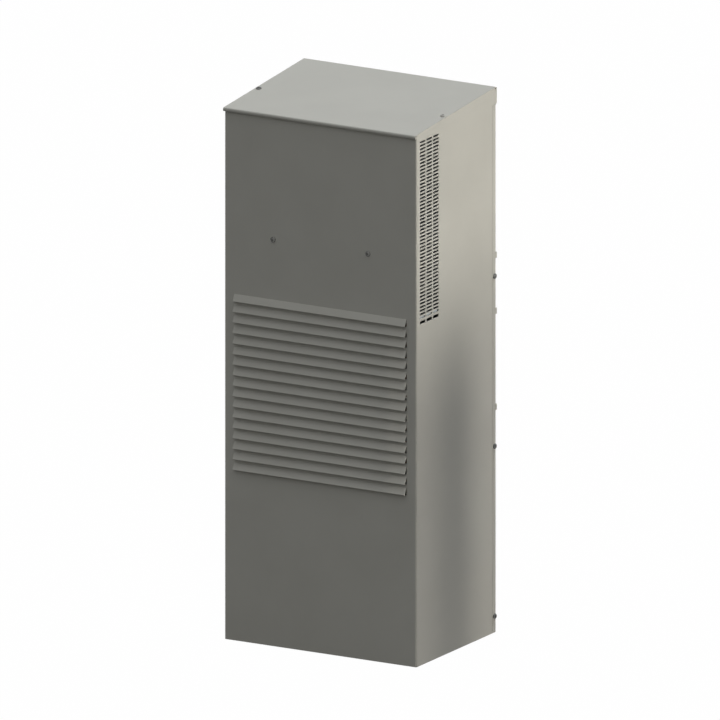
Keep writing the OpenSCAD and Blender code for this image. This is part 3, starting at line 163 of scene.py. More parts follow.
def powder_coat():
    material, tree, shader, place = start_material("powder_coated_steel", Metallic=0.0, IOR=1.5)
    shader.inputs["Specular IOR Level"].default_value = 0.27
    rounded = add(tree, "Bevel", {"Radius": EDGE_RADIUS}, samples=4)
    true_normal = add(tree, "NewGeometry").outputs["Normal"]
    match = add(tree, "VectorMath", {0: rounded.outputs[0], 1: true_normal}, operation="DOT_PRODUCT")
    edge = remap(tree, match.outputs["Value"], 0.995, 0.8, 0.0, 1.0)
    cloud = add(tree, "TexNoise", {"Vector": place, "Scale": per_metre(CLOUD_MM), "Detail": 3.0})
    grain = add(tree, "TexNoise", {"Vector": place, "Scale": per_metre(GRAIN_MM), "Detail": 1.0})
    tone = mix_colour(tree, remap(tree, cloud.outputs["Fac"], 0.35, 0.65, 0.0, 1.0), "#B6B4A8", "#BCBAAE")
    speckled = mix_colour(tree, remap(tree, grain.outputs["Fac"], 0.3, 0.75, 0.0, 0.35), tone, "#C2C0B5")
    # Sharp edges are painted paler: a painted highlight where light catches the bends.
    colour = mix_colour(tree, edge, speckled, "#C6C4B8")
    tree.links.new(colour, shader.inputs["Base Color"])
    tree.links.new(remap(tree, cloud.outputs["Fac"], 0.3, 0.7, 0.44, 0.54), shader.inputs["Roughness"])
    peel = add(tree, "TexNoise", {"Vector": place, "Scale": per_metre(PEEL_MM), "Detail": 2.0})
    fine = add(tree, "Bump", {"Height": grain.outputs["Fac"], "Strength": 0.12, "Distance": 0.02 * MM,
                              "Normal": rounded.outputs[0]})
    bump = add(tree, "Bump", {"Height": peel.outputs["Fac"], "Strength": 0.35, "Distance": 0.05 * MM,
                              "Normal": fine.outputs[0]})
    tree.links.new(bump.outputs[0], shader.inputs["Normal"])
    return material


paint = powder_coat()
print("made", paint.name)

# %% [markdown]
# ## Hot-dip galvanised sheet
# The chassis parts are bare galvanised sheet. As the zinc freezes it grows crystals, called
# spangle, a few millimetres across, and each of them turns the light a little differently. Cells of
# a Voronoi pattern give each crystal its own tone and gloss. Some years of air have dulled the zinc.

# %% Galvanised sheet
SPANGLE_MM = 7.0
SPANGLE_WOBBLE = 4.0 * MM


def galvanised():
    material, tree, shader, place = start_material("galvanised_sheet", Metallic=1.0)
    wavy = add(tree, "TexNoise", {"Vector": place, "Scale": per_metre(SPANGLE_MM), "Detail": 2.0})
    bent = add(tree, "VectorMath", {0: place, 1: wavy.outputs["Color"], 2: (SPANGLE_WOBBLE,) * 3},
               operation="MULTIPLY_ADD")
    cells = add(tree, "TexVoronoi", {"Vector": bent.outputs[0], "Scale": per_metre(SPANGLE_MM)})
    crystal = add(tree, "SeparateColor", {"Color": cells.outputs["Color"]}).outputs[0]
    tree.links.new(mix_colour(tree, crystal, "#878C8E", "#A3A8AA"), shader.inputs["Base Color"])
    tree.links.new(remap(tree, crystal, 0.0, 1.0, 0.34, 0.56), shader.inputs["Roughness"])
    bump = add(tree, "Bump", {"Height": cells.outputs["Distance"], "Strength": 0.15,
                              "Distance": 0.05 * MM})
    tree.links.new(bump.outputs[0], shader.inputs["Normal"])
    return material


zinc = galvanised()
print("made", zinc.name)

# %% [markdown]
# ## Plated screws, fin stock and drawn copper
# The shafts, nuts and guard are steel under bright zinc, cold formed, with fine random scuffs. The screws
# outside are rougher and painted a darker steel, a painted shade. The fins and the filter's frame are rolled
# aluminium, whose rolling lines all run one way. The tubes are drawn copper, browned unevenly by brazing
# heat and years of air, and painted darker overall, a painted shade for the dim inside of the unit.

# %% Other metals
ROLL_LINE_MM = 0.8
SCUFF_MM = 1.2
STAIN_MM = 18.0


def plated_steel(name, dark, light, roughness):
    material, tree, shader, place = start_material(name, Metallic=1.0)
    scuff = add(tree, "TexNoise", {"Vector": place, "Scale": per_metre(SCUFF_MM), "Detail": 4.0,
                                   "Roughness": 0.65})
    worn = remap(tree, scuff.outputs["Fac"], 0.35, 0.65, 0.0, 1.0)
    tree.links.new(mix_colour(tree, worn, dark, light), shader.inputs["Base Color"])
    tree.links.new(remap(tree, worn, 0.0, 1.0, roughness + 0.14, roughness), shader.inputs["Roughness"])
    bump = add(tree, "Bump", {"Height": scuff.outputs["Fac"], "Strength": 0.2, "Distance": 0.03 * MM})
    tree.links.new(bump.outputs[0], shader.inputs["Normal"])
    return material


def shaded_and_lit_roof_screws():
    """The roof's left screw is dark steel, darkened to stand in for shade. The right one has the roof's lit
    grey, standing in for light.
    """
    material, tree, shader, place = start_material("roof_screws_shaded_and_lit")
    scuff = add(tree, "TexNoise", {"Vector": place, "Scale": per_metre(SCUFF_MM), "Detail": 4.0})
    worn = remap(tree, scuff.outputs["Fac"], 0.35, 0.65, 0.0, 1.0)
    across = add(tree, "SeparateXYZ", {"Vector": place}).outputs["X"]
    # The right screw gets the roof's lit grey, a painted highlight; the left one's dark steel is painted
    # shade.
    lit_screw = add(tree, "Math", {0: across, 1: 0.0}, operation="GREATER_THAN").outputs[0]
    steel = mix_colour(tree, worn, "#4A4A48", "#6E6E6B")
    lit_roof_grey = mix_colour(tree, worn, "#A3A198", "#B6B4AA")
    tree.links.new(mix_colour(tree, lit_screw, steel, lit_roof_grey), shader.inputs["Base Color"])
    tree.links.new(remap(tree, lit_screw, 0.0, 1.0, 1.0, 0.0), shader.inputs["Metallic"])
    tree.links.new(remap(tree, worn, 0.0, 1.0, 0.56, 0.42), shader.inputs["Roughness"])
    bump = add(tree, "Bump", {"Height": scuff.outputs["Fac"], "Strength": 0.2, "Distance": 0.03 * MM})
    tree.links.new(bump.outputs[0], shader.inputs["Normal"])
    return material


def rolled_aluminium(name="rolled_aluminium"):
    material, tree, shader, place = start_material(name, Metallic=1.0)
    drawn = add(tree, "Mapping", {"Vector": place, "Scale": (1.0, 1.0, 0.04)})
    lines = add(tree, "TexNoise", {"Vector": drawn.outputs[0], "Scale": per_metre(ROLL_LINE_MM),
                                   "Detail": 3.0})
    band = remap(tree, lines.outputs["Fac"], 0.3, 0.7, 0.0, 1.0)
    tree.links.new(mix_colour(tree, band, "#BDC1C4", "#D6D9DB"), shader.inputs["Base Color"])
    tree.links.new(remap(tree, band, 0.0, 1.0, 0.42, 0.3), shader.inputs["Roughness"])
    bump = add(tree, "Bump", {"Height": lines.outputs["Fac"], "Strength": 0.15, "Distance": 0.02 * MM})
    tree.links.new(bump.outputs[0], shader.inputs["Normal"])
    return material


def drawn_copper():
    material, tree, shader, place = start_material("drawn_copper", Metallic=1.0)
    stain = add(tree, "TexNoise", {"Vector": place, "Scale": per_metre(STAIN_MM), "Detail": 5.0,
                                   "Roughness": 0.6})
    browning_and_shade = remap(tree, stain.outputs["Fac"], 0.42, 0.66, 0.0, 1.0)
    # Both copper tones are darker than clean copper: painted shade for the dim inside, over real patches of
    # browning.
    tree.links.new(mix_colour(tree, browning_and_shade, "#9A6040", "#553623"), shader.inputs["Base Color"])
    tree.links.new(remap(tree, browning_and_shade, 0.0, 1.0, 0.24, 0.46), shader.inputs["Roughness"])
    fine = add(tree, "TexNoise", {"Vector": place, "Scale": per_metre(SCUFF_MM), "Detail": 2.0})
    bump = add(tree, "Bump", {"Height": fine.outputs["Fac"], "Strength": 0.15, "Distance": 0.02 * MM})
    tree.links.new(bump.outputs[0], shader.inputs["Normal"])
    return material


bright_steel = plated_steel("bright_zinc_plated_steel", "#8E8F8C", "#C9CAC7", 0.22)
# The outside screws' steel is painted far darker than plated steel: a painted shade.
shade_darkened_steel = plated_steel("zinc_plated_steel_darkened_as_shade", "#4A4A48", "#6E6E6B", 0.42)
shaded_and_lit_screw_finish = shaded_and_lit_roof_screws()
brass = plated_steel("turned_brass", "#9C8244", "#C9AE62", 0.25)
aluminium = rolled_aluminium()
copper = drawn_copper()
metals = bright_steel, shade_darkened_steel, shaded_and_lit_screw_finish, brass, aluminium, copper
print("made", ", ".join(metal.name for metal in metals))

# %% [markdown]
# ## Black parts: electrocoat, moulded nylon and rubber
# The compressor is dipped in black electrocoat, a thin glossy paint that shows small runs and sags.
# The impellers are moulded in glass-filled nylon, which is matt with a fibrous grain. The hose and the
# grommets are rubber and the leads soft vinyl, softer still to the eye, with dust held in their pores.

# %% Paints, plastics and rubber
FIBRE_MM = 0.7
PORE_MM = 1.4


def coated(name, dark, light, roughness, grain_mm, depth_mm, detail=3.0):
    """Paint, plastic or rubber: two close tones, one roughness with its scatter, and a grain."""
    material, tree, shader, place = start_material(name, Metallic=0.0, IOR=1.5)
    cloud = add(tree, "TexNoise", {"Vector": place, "Scale": per_metre(grain_mm * 12), "Detail": 4.0})
    grain = add(tree, "TexNoise", {"Vector": place, "Scale": per_metre(grain_mm), "Detail": detail})
    tone = remap(tree, cloud.outputs["Fac"], 0.35, 0.65, 0.0, 1.0)
    tree.links.new(mix_colour(tree, tone, dark, light), shader.inputs["Base Color"])
    tree.links.new(remap(tree, cloud.outputs["Fac"], 0.3, 0.7, roughness - 0.06, roughness + 0.06),
                   shader.inputs["Roughness"])
    bump = add(tree, "Bump", {"Height": grain.outputs["Fac"], "Strength": 0.4, "Distance": depth_mm * MM})
    tree.links.new(bump.outputs[0], shader.inputs["Normal"])
    return material


electrocoat = coated("black_electrocoat", "#1B1C1E", "#2A2C2F", 0.3, 2.5, 0.06)
nylon = coated("moulded_nylon", "#232426", "#303234", 0.52, FIBRE_MM, 0.05)
rubber = coated("moulded_rubber", "#1A1A1A", "#262625", 0.72, PORE_MM, 0.05)
vinyl = coated("vinyl_cable_jacket", "#202122", "#2B2C2D", 0.45, PORE_MM, 0.02)
phenolic = coated("moulded_phenolic", "#CFCABB", "#DDD9CC", 0.4, FIBRE_MM, 0.03)
print("made five coats and mouldings")

# %% [markdown]
# ## Foam, filter fleece and circuit board
# The gasket and the tub's lining are closed-cell foam: a skin full of tiny round cells. Voronoi
# distance makes those cells as relief, and darkens their hollows as painted shade. The filter is a loose
# fleece of polyester thread, rougher and with deeper hollows. The board is green solder mask over copper
# runs.

# %% Foam, fleece and board


def cellular(name, shaded_hollow, skin, cell_mm, depth_mm):
    """Foam or fleece: round cells, their hollows darkened in colour to stand in for shade."""
    material, tree, shader, place = start_material(name, Metallic=0.0, IOR=1.45)
    shader.inputs["Specular IOR Level"].default_value = 0.2
    cells = add(tree, "TexVoronoi", {"Vector": place, "Scale": per_metre(cell_mm)})
    wall = remap(tree, cells.outputs["Distance"], 0.0, 0.6, 0.0, 1.0)
    # The cells' hollows are painted darker than the skin: painted shade in the recesses.
    tree.links.new(mix_colour(tree, wall, shaded_hollow, skin), shader.inputs["Base Color"])
    tree.links.new(remap(tree, wall, 0.0, 1.0, 0.95, 0.8), shader.inputs["Roughness"])
    bump = add(tree, "Bump", {"Height": wall, "Strength": 0.6, "Distance": depth_mm * MM})
    tree.links.new(bump.outputs[0], shader.inputs["Normal"])
    return material


def circuit_board():
    """Green solder mask with copper runs about a millimetre wide showing through it."""
    material, tree, shader, place = start_material("solder_mask", Metallic=0.0, Roughness=0.3, IOR=1.5)
    runs = add(tree, "TexBrick", {"Vector": place, "Scale": 1.0, "Brick Width": 9 * MM, "Row Height": 3 * MM,
                                  "Mortar Size": 0.5 * MM, "Color1": linear("#265C35"),
                                  "Color2": linear("#2B653B"), "Mortar": linear("#4C8A4E")})
    upright = add(tree, "Mapping", {"Vector": place, "Rotation": (math.radians(90), 0, 0)})
    tree.links.new(upright.outputs[0], runs.inputs["Vector"])
    tree.links.new(runs.outputs["Color"], shader.inputs["Base Color"])
    bump = add(tree, "Bump", {"Height": runs.outputs["Fac"], "Strength": 0.3, "Distance": 0.05 * MM})
    tree.links.new(bump.outputs[0], shader.inputs["Normal"])
    return material


foam = cellular("closed_cell_foam", "#242527", "#3C3E40", 1.6, 0.25)
fleece = cellular("polyester_fleece", "#1E2022", "#55585A", 3.0, 1.2)
board = circuit_board()
print("made", foam.name, fleece.name, board.name)

# %% [markdown]
# ## Give every exact part its finish
# Each part of the exact model keeps its shape and takes the material that its maker would use. A
# table from finish to parts is easier to check than sixty separate lines.

# %% Finish of each part
finishes = {
    paint: "cover roof_panel rear_panel",
    zinc: "base_pan partition_tub side_cheeks fan_deck condenser_inlet_ring condenser_fan_bracket "
          "condenser_end_plates accumulator_strap evaporator_end_plates coil_baffle "
          "evaporator_inlet_ring evaporator_fan_bracket control_box control_box_lid",
    bright_steel: "mounting_inserts bracket_nuts compressor_bolts inlet_guard "
                  "condenser_bearings condenser_shaft evaporator_bearings evaporator_shaft",
    shade_darkened_steel: "front_screws side_screws",
    shaded_and_lit_screw_finish: "roof_screws",
    aluminium: "condenser_stator evaporator_stator filter_frame condenser_fins evaporator_fins "
               "drain_pan run_capacitor",
    copper: "condenser_tubes evaporator_tubes discharge_pipe liquid_pipe filter_drier "
            "capillary_tube suction_pipe",
    electrocoat: "compressor_shell compressor_foot suction_accumulator",
    nylon: "condenser_rotor condenser_impeller evaporator_rotor evaporator_impeller "
           "terminal_cover power_socket",
    rubber: "compressor_grommets drain_tube",
    vinyl: "wiring",
    foam: "rear_gasket tub_insulation",
    fleece: "filter_pad",
    board: "control_board",
    brass: "board_standoffs",
    phenolic: "contactor",
}
for finish, names in finishes.items():
    for name in names.split():
        mesh = nodes[name].data
        mesh.materials.clear()
        mesh.materials.append(finish)
unfinished = sorted(set(nodes) - set(" ".join(finishes.values()).split()))
print("parts without a finish:", unfinished)

# %% [markdown]
# ## Soft parts, made again as soft parts
# The exact model holds foam, fleece, rubber and leads as plain solids. Each gets its own mesh here, in
# millimetres, in the place of the solid that it stands for. Most of them are skins over rings of
# points: strips, hoses and leads are all drawn or moulded along a line, so one function serves them.

# %% Helpers for soft parts
SHARP_ANGLE = math.radians(42)


def loft(rings, loop=False):
    """A skin over rings of points. A loop joins the last ring to the first, or flat caps close the ends."""
    rings = np.asarray(rings, float)
    count, size = rings.shape[:2]
    here = np.arange(count if loop else count - 1)[:, None]
    after = (here + 1) % count
    point = np.arange(size)[None, :]
    beside = (point + 1) % size
    corners = [here * size + point, here * size + beside, after * size + beside, after * size + point]
    faces = np.stack(corners, -1).reshape(-1, 4).tolist()
    if not loop:
        faces += [list(range(size)), list(range((count - 1) * size, count * size))]
    return rings.reshape(-1, 3), faces


def joined(skins):
    """Several skins as one, with the later ones' faces counted on from the earlier ones' points."""
    points, faces = [], []
    for skin_points, skin_faces in skins:
        start = sum(len(p) for p in points)
        points.append(skin_points)
        faces += [[start + i for i in face] for face in skin_faces]
    return np.concatenate(points), faces


def soft_piece(name, skin, finish, node):
    """A closed mesh that rides on the casing and stands for a node. Its faces are turned outwards."""
    points, faces = skin
    mesh = bpy.data.meshes.new(name)
    mesh.from_pydata((points * MM).tolist(), [], faces)
    shape = bmesh.new()
    shape.from_mesh(mesh)
    bmesh.ops.recalc_face_normals(shape, faces=shape.faces)
    shape.to_mesh(mesh)
    shape.free()
    mesh.polygons.foreach_set("use_smooth", [True] * len(mesh.polygons))
    mesh.set_sharp_from_angle(angle=SHARP_ANGLE)
    mesh.materials.append(finish)
    piece = bpy.data.objects.new(name, mesh)
    bpy.context.scene.collection.objects.link(piece)
    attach(piece, "casing")
    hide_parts(node)
    print(name, "faces:", len(mesh.polygons))
    return piece


def node_box(node):
    """The lowest and highest corner of a node in millimetres."""
    low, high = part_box(node)
    return np.array(low) / MM, np.array(high) / MM


# %% [markdown]
# ## Gasket, lining and filter
# The gasket is a self-adhesive strip of foam, 12 mm wide, cut to length and mitred at the corners. It
# is flat on the steel side and crowned on the other, and it sinks a little at the cuts. The lining is
# a sheet of the same foam with windows for the fan bracket's feet and holes for two pipes. It is cut
# from a flat outline by triangulating the outline, its holes and a grid of points inside it. The
# filter is a fleece folded into low pleats.

# %% Foam pieces
GASKET_WIDTH = 12.0
GASKET_PROFILE = ((-1.0, 0.0), (-1.0, 0.5), (-0.9, 0.78), (-0.66, 0.94), (-0.33, 0.99), (0.0, 1.0),
                  (0.33, 0.99), (0.66, 0.94), (0.9, 0.78), (1.0, 0.5), (1.0, 0.0), (0.0, 0.0))
CUT_DEPTH_SHARE = 0.3


def gasket():
    """The profile follows the middle of the frame. At each corner it is turned by half a right angle."""
    low, high = node_box("rear_gasket")
    middle = np.array([low[0] + GASKET_WIDTH / 2, low[2] + GASKET_WIDTH / 2])
    reach = np.array([high[0], high[2]]) - GASKET_WIDTH / 2
    corners = [(reach[0], middle[1]), (reach[0], reach[1]), (middle[0], reach[1]), (middle[0], middle[1])]
    rings = []
    for i in range(4):
        start, end = np.array(corners[i]), np.array(corners[(i + 1) % 4])
        length = np.linalg.norm(end - start)
        along = (end - start) / length
        outwards = np.array([along[1], -along[0]])
        stops = np.concatenate([[0.0, 0.5, 1.2, 7.0], np.arange(14.0, length - 14.0, 7.0),
                                [length - 7.0, length - 1.2, length - 0.5]])
        for stop in stops:
            near = min(stop, length - stop)
            sunk = CUT_DEPTH_SHARE * max(0.0, 1.0 - near / 1.2)
            height = (high[1] - low[1]) * (0.965 + 0.035 * math.sin(stop / 9.0 + i)) * (1.0 - sunk)
            half = GASKET_WIDTH / 2 * (0.985 + 0.015 * math.sin(stop / 13.0 + 2 * i))
            ring = []
            for across, up in GASKET_PROFILE:
                lean = max(0.0, 1.0 - stop / 7.0) - max(0.0, 1.0 - (length - stop) / 7.0)
                u = across * (GASKET_WIDTH / 2 if near == 0 else half)
                spot = start + along * (stop - u * lean) + outwards * u
                ring.append((spot[0], low[1] + up * height, spot[1]))
            rings.append(ring)
    return loft(rings, loop=True)


def cut_sheet(outline, holes, y_front, y_back, step):
    """A flat sheet with holes, its two faces slightly wavy. Triangles with their middle in a hole go."""
    loops = [np.array(outline)] + [np.array(hole) for hole in holes]
    low, high = loops[0].min(0), loops[0].max(0)
    grid = [(x, z) for x in np.arange(low[0] + step / 2, high[0] - step / 4, step)
            for z in np.arange(low[1] + step / 2, high[1] - step / 4, step)]
    clear = [p for p in grid if all(np.linalg.norm(loop - p, axis=1).min() > step * 0.45 for loop in loops)]
    flat = np.concatenate(loops + [np.array(clear)])
    edges, start = [], 0
    for loop in loops:
        edges += [(start + i, start + (i + 1) % len(loop)) for i in range(len(loop))]
        start += len(loop)
    flat, _, triangles, *_ = geometry.delaunay_2d_cdt([Vector(p) for p in flat], edges, [], 0, 1e-6)
    flat = np.array([tuple(p) for p in flat])
    kept = [t for t in triangles if not any(inside(flat[list(t)].mean(0), hole) for hole in loops[1:])]
    pairs = {}
    for a, b, c in kept:
        for edge in ((a, b), (b, c), (c, a)):
            pairs.setdefault(frozenset(edge), []).append(edge)
    rim = [edges_of[0] for edges_of in pairs.values() if len(edges_of) == 1]
    give = 0.25 * (1 + np.sin(flat[:, 0] / 19.0) * np.sin(flat[:, 1] / 27.0))
    count = len(flat)
    points = np.concatenate([
        np.column_stack([flat[:, 0], y_front + give, flat[:, 1]]),
        np.column_stack([flat[:, 0], y_back - give / 2, flat[:, 1]]),
    ])
    faces = [list(t) for t in kept] + [[count + i for i in reversed(t)] for t in kept]
    faces += [[b, a, count + a, count + b] for a, b in rim]
    return points, faces


def inside(point, loop):
    """Whether a point lies in a loop: a ray from it crosses the loop an odd number of times."""
    x, z = point
    ax, az = loop.T
    bx, bz = np.roll(loop, -1, axis=0).T
    crosses = (az > z) != (bz > z)
    crossing_x = ax + (z - az) * (bx - ax) / np.where(bz == az, 1.0, bz - az)
    return bool(np.count_nonzero(crosses & (x < crossing_x)) % 2)


def rectangle(x0, x1, z0, z1, step):
    """Points round a rectangle, no further apart than the step."""
    across = np.linspace(x0, x1, int(abs(x1 - x0) / step) + 2)[:-1]
    up = np.linspace(z0, z1, int(abs(z1 - z0) / step) + 2)[:-1]
    sides = [[(x, z0) for x in across], [(x1, z) for z in up],
             [(x0 + x1 - x, z1) for x in across], [(x0, z0 + z1 - z) for z in up]]
    return sum(sides, [])


def circle(x, z, radius, count=20):
    turns = np.arange(count) * 2 * math.pi / count
    return [(x + radius * math.cos(a), z + radius * math.sin(a)) for a in turns]


WINDOW_X, WINDOW_Z = (59.7, 78.3), (600.9, 691.5)
PIPE_HOLES = ((137.7, 214.0, 4.9), (-137.7, 230.0, 1.5))
SHEET_STEP = 12.0


def lining():
    low, high = node_box("tub_insulation")
    windows = [rectangle(side * WINDOW_X[0], side * WINDOW_X[1], *WINDOW_Z, SHEET_STEP) for side in (-1, 1)]
    outline = rectangle(low[0], high[0], low[2], high[2], SHEET_STEP)
    return cut_sheet(outline, windows + [circle(*hole) for hole in PIPE_HOLES], low[1], high[1], SHEET_STEP)


PLEAT_MM = 14.3


def pleated_pad():
    """Half the thickness swings with a cosine of x. It falls off over the last millimetres of each edge."""
    low, high = node_box("filter_pad")
    middle, reach = (low + high) / 2, (high - low) / 2
    xs = np.linspace(-1, 1, 193)
    stops = np.concatenate([[-1, -0.995, -0.985, -0.965], np.linspace(-0.94, 0.94, 48),
                            [0.965, 0.985, 0.995, 1]])
    pleats = 0.84 + 0.16 * np.cos(xs * reach[0] * 2 * math.pi / PLEAT_MM)
    rings = []
    for stop in stops:
        side = np.clip((1 - np.abs(xs)) * reach[0] / 3.0, 0, 1)
        end = min(1.0, (1 - abs(stop)) * reach[2] / 3.0)
        soft = 0.45 + 0.55 * np.sqrt(1 - (1 - np.minimum(side, end)) ** 2)
        ripple = 1 - 0.05 * (1 + np.sin(xs * 17 + stop * 9) * math.sin(stop * 23)) / 2
        half = reach[1] * pleats * soft * ripple
        z = np.full_like(xs, middle[2] + stop * reach[2])
        front = np.column_stack([middle[0] + xs * reach[0], middle[1] - half, z])
        back = np.column_stack([middle[0] + xs * reach[0], middle[1] + half, z])
        rings.append(np.concatenate([front, back[::-1]]))
    return loft(rings)


soft_piece("rear_gasket_foam", gasket(), foam, "rear_gasket")
soft_piece("tub_lining_foam", lining(), foam, "tub_insulation")
soft_piece("filter_fleece", pleated_pad(), fleece, "filter_pad")

# %% [markdown]
# ## Drain hose, grommets and leads
# The drain hose is moulded rubber with shallow rings, so that it bends without a kink. The compressor
# stands on three turned rubber grommets whose neck sits in the foot's hole. Each lead is a bundle of
# three wires twisted about each other: its outline is a circle with three lobes that turn along it.

# %% Rubber pieces
HOSE_OUTSIDE, HOSE_INSIDE, HOSE_RING_MM = 8.0, 6.5, 6.0


def around(centre, radius, z, count=48):
    """A level ring about a point."""
    turns = np.arange(count) * 2 * math.pi / count
    return np.column_stack([centre[0] + radius * np.cos(turns), centre[1] + radius * np.sin(turns),
                            np.full(count, z)])


def drain_hose():
    """A wall with an outer and an inner face: the rings go up the outside and down the inside."""
    low, high = node_box("drain_tube")
    centre = ((low + high) / 2)[:2]
    heights = np.arange(low[2] + 0.6, high[2] - 0.6, 1.0)
    outer = [around(centre, HOSE_OUTSIDE - 0.3, low[2])]
    outer += [around(centre, HOSE_OUTSIDE - 0.2 + 0.2 * math.cos(2 * math.pi * z / HOSE_RING_MM), z)
              for z in heights]
    outer += [around(centre, HOSE_OUTSIDE - 0.3, high[2])]
    inner = [around(centre, HOSE_INSIDE, z) for z in np.linspace(high[2], low[2], 24)]
    return loft(outer + inner, loop=True)


SHELL_AXIS = np.array([-35.0, -30.25])
FOOT_REACH = 66.1
FOOT_TURNS = (60, 180, 300)
GROMMET_PROFILE = ((4.1, 0.2), (4.4, 0.0), (10.2, 0.0), (10.8, 0.3), (11.0, 1.0), (10.7, 4.0), (11.0, 7.0),
                   (10.7, 7.7), (10.2, 7.9), (8.9, 7.9), (8.9, 11.1), (10.4, 11.1), (10.9, 11.4),
                   (10.9, 11.9), (9.9, 13.5), (9.3, 14.0), (4.5, 14.0), (4.1, 13.8))


def grommets():
    floor_z = node_box("compressor_grommets")[0][2]
    skins = []
    for turn in FOOT_TURNS:
        centre = SHELL_AXIS + FOOT_REACH * np.array([math.cos(math.radians(turn)),
                                                     math.sin(math.radians(turn))])
        skins.append(loft([around(centre, r, floor_z + z) for r, z in GROMMET_PROFILE], loop=True))
    return joined(skins)


LEAD_RADIUS, LEAD_BEND, LEAD_TWIST_MM = 2.5, 8.0, 42.0
LEAD_ROUTES = (
    ((118, -56.4, 150), (118, 62, 150), (118, 62, 208), (118, 83.9, 208)),
    ((60.3, -72.25, 190.7), (-18, -72.25, 190.7), (-18, -45.35, 190.7)),
    ((113, -68.5, 212.1), (113, -68.5, 226), (113, -52.9, 226), (113, -52.9, 559.6), (113, -104.6, 559.6),
     (0, -104.6, 559.6), (0, -104.6, 579.5)),
    ((100, -56.4, 170), (100, 10, 170), (100, 10, 646.2), (100, 41.6, 646.2), (40.1, 41.6, 646.2)),
)


def rounded_route(corners, radius, steps=8, spacing=4.0):
    """The straight runs of a route, with an arc at each corner that touches both runs."""
    corners = [np.array(c, float) for c in corners]
    bends = []
    for before, corner, after in zip(corners, corners[1:], corners[2:]):
        u, v = before - corner, after - corner
        room = min(np.linalg.norm(u), np.linalg.norm(v)) / 2
        u, v = u / np.linalg.norm(u), v / np.linalg.norm(v)
        r = min(radius, room)
        centre = corner + (u + v) * r
        sweep = np.linspace(0, math.pi / 2, steps)
        bends.append([centre - v * r * math.cos(a) - u * r * math.sin(a) for a in sweep])
    path, last = [corners[0]], corners[0]
    for bend in [*bends, [corners[-1]]]:
        run = np.linalg.norm(bend[0] - last)
        pieces = max(1, int(run / spacing))
        path += [last + (bend[0] - last) * i / pieces for i in range(1, pieces)]
        path += list(bend)
        last = bend[-1]
    return np.array(path)


def twisted_lead(route, sides=18):
    """Rings across the route. Their frame is carried along with the least turning, then twisted."""
    ahead = np.gradient(route, axis=0)
    ahead /= np.linalg.norm(ahead, axis=1)[:, None]
    side = np.cross(ahead[0], (0.3, 0.5, 0.8))
    rings, travelled = [], 0.0
    for i, (spot, way) in enumerate(zip(route, ahead)):
        side = side - way * side.dot(way)
        side /= np.linalg.norm(side)
        up = np.cross(way, side)
        travelled += np.linalg.norm(spot - route[i - 1]) if i else 0.0
        turns = np.arange(sides) * 2 * math.pi / sides
        lobes = 0.88 + 0.12 * np.cos(3 * (turns - travelled * 2 * math.pi / LEAD_TWIST_MM))
        rings.append(spot + LEAD_RADIUS * lobes[:, None] * (np.cos(turns)[:, None] * side
                                                            + np.sin(turns)[:, None] * up))
    return loft(rings)


soft_piece("drain_hose", drain_hose(), rubber, "drain_tube")
soft_piece("rubber_grommets", grommets(), rubber, "compressor_grommets")
soft_piece("twisted_leads", joined([twisted_lead(rounded_route(route, LEAD_BEND)) for route in LEAD_ROUTES]),
           vinyl, "wiring")

# %% [markdown]
# ## Floor, backdrop and light
# The photograph shows the unit on plain white. The floor and the world read the kind of ray: to the
# camera and to reflections they are white, and to all other light they are ordinary pale surfaces.
# So the background is white without pouring extra light on the object. The floor itself gives little
# light back, as the front gets no brighter towards its foot, and a trace of its shading stays in.

# %% Floor and world
WHITE_SHARE = 0.994
FLOOR_SIZE = 40.0
FLOOR_GREY = 0.07


def seen_directly(tree):
    """1 for rays from the camera, in reflections and through glass, 0 for the rest."""
    path = add(tree, "LightPath")
    seen = add(tree, "Math", {0: path.outputs["Is Camera Ray"], 1: path.outputs["Is Glossy Ray"]},
               operation="MAXIMUM")
    return add(tree, "Math", {0: seen.outputs[0], 1: path.outputs["Is Transmission Ray"]},
               operation="MAXIMUM").outputs[0]


def floor_material():
    material, tree, shader, place = start_material("pale_floor", Roughness=0.9)
    shader.inputs["Base Color"].default_value = (FLOOR_GREY, FLOOR_GREY, FLOOR_GREY, 1.0)
    white = add(tree, "Emission", {"Color": (1, 1, 1, 1), "Strength": 1.0})
    share = add(tree, "Math", {0: seen_directly(tree), 1: WHITE_SHARE}, operation="MULTIPLY")
    both = add(tree, "MixShader", {0: share.outputs[0], 1: shader.outputs[0], 2: white.outputs[0]})
    tree.links.new(both.outputs[0], tree.nodes["Material Output"].inputs["Surface"])
    return material


def floor_sheet():
    """A flat square under the base, from four corners."""
    half = FLOOR_SIZE / 2
    mesh = bpy.data.meshes.new("floor")
    mesh.from_pydata([(-half, -half, 0), (half, -half, 0), (half, half, 0), (-half, half, 0)], [],
                     [(0, 1, 2, 3)])
    mesh.materials.append(floor_material())
    sheet = bpy.data.objects.new("floor", mesh)
    bpy.context.scene.collection.objects.link(sheet)
    return sheet


floor = floor_sheet()

WORLD_LIGHT = (0.106, 0.104, 0.110, 1.0)
world = bpy.data.worlds.new("studio")
bpy.context.scene.world = world
world.use_nodes = True
sky = world.node_tree
backdrop = add(sky, "Background", {"Color": (1, 1, 1, 1), "Strength": 1.0})
sky.nodes["Background"].inputs["Color"].default_value = WORLD_LIGHT
choice = add(sky, "MixShader", {0: seen_directly(sky), 1: sky.nodes["Background"].outputs[0],
                                2: backdrop.outputs[0]})
sky.links.new(choice.outputs[0], sky.nodes["World Output"].inputs["Surface"])

# %% [markdown]
# The lamps follow the tones of the photograph. A sun from high behind lights the roof. A second one,
# steep, very wide and weak, reaches the front, so each louvre shades the next one softly. A soft box at
# the right and rear lights the upper half of the side. Two tilted strips further out light its lower
# half near the edges and leave the quiet dark band down its middle.

# %% Lamps


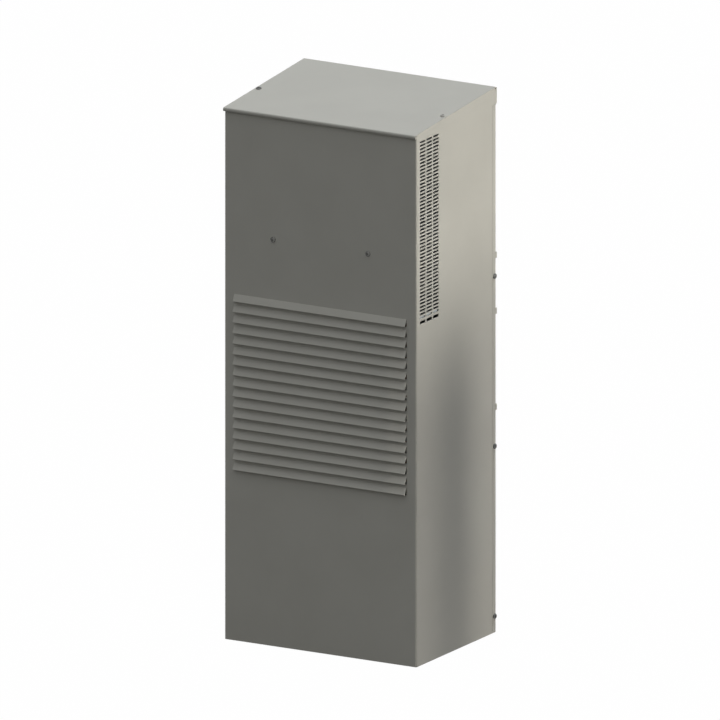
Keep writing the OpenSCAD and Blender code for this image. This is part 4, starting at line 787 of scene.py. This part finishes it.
def lamp(name, kind, place, target, strength, colour=(1, 1, 1), **settings):
    """A lamp at a place in metres that shines at a target. The camera doesn't see it."""
    data = bpy.data.lights.new(name, kind)
    data.energy = strength
    data.color = colour
    for key, value in settings.items():
        setattr(data, key, value)
    holder = bpy.data.objects.new(name, data)
    holder.location = place
    holder.rotation_euler = (Vector(place) - Vector(target)).to_track_quat("Z", "Y").to_euler()
    holder.visible_camera = False
    bpy.context.scene.collection.objects.link(holder)
    return holder


SIDE_X = 0.1525
BOX_LOW, BOX_HIGH, BOX_OUT, BOX_BACK, BOX_WIDTH = 0.468, 1.15, 0.85, 0.35, 0.8
STRIP_TOP, STRIP_LOW, STRIP_OUT, STRIP_UP = 0.45, -0.15, 1.2, 0.56
BOX_COLOUR, STRIP_COLOUR = (1.0, 0.965, 0.935), (1.0, 0.95, 0.93)
BEHIND_COLOUR, FRONT_COLOUR = (0.91, 0.95, 1.04), (0.96, 1.0, 1.07)

box_z, strip_z = (BOX_LOW + BOX_HIGH) / 2, (STRIP_TOP + STRIP_LOW) / 2
tilted = (STRIP_TOP - STRIP_LOW) * STRIP_OUT / math.hypot(STRIP_OUT, STRIP_UP)
lamp("sun_behind", "SUN", (0.15, 0.5, 0.86), (0, 0, 0), 1.75, BEHIND_COLOUR, angle=math.radians(12))
lamp("sun_in_front", "SUN", (0.1, -0.46, 0.88), (0, 0, 0), 0.835, FRONT_COLOUR, angle=math.radians(72))
lamp("soft_box", "AREA", (SIDE_X + BOX_OUT, BOX_BACK, box_z), (SIDE_X, 0, box_z), 1.24, BOX_COLOUR,
     shape="RECTANGLE", size=BOX_WIDTH, size_y=BOX_HIGH - BOX_LOW, spread=math.radians(22))
for name, y, width, spread, strength in (("strip_front", -0.117, 0.02, 11.5, 0.0555),
                                         ("strip_rear", 0.10, 0.08, 9.5, 0.078)):
    strip = lamp(name, "AREA", (SIDE_X + STRIP_OUT, y, strip_z + STRIP_UP), (SIDE_X, y, strip_z), strength,
                 STRIP_COLOUR, shape="RECTANGLE", size=width, size_y=tilted, spread=math.radians(spread))
    strip.visible_glossy = False
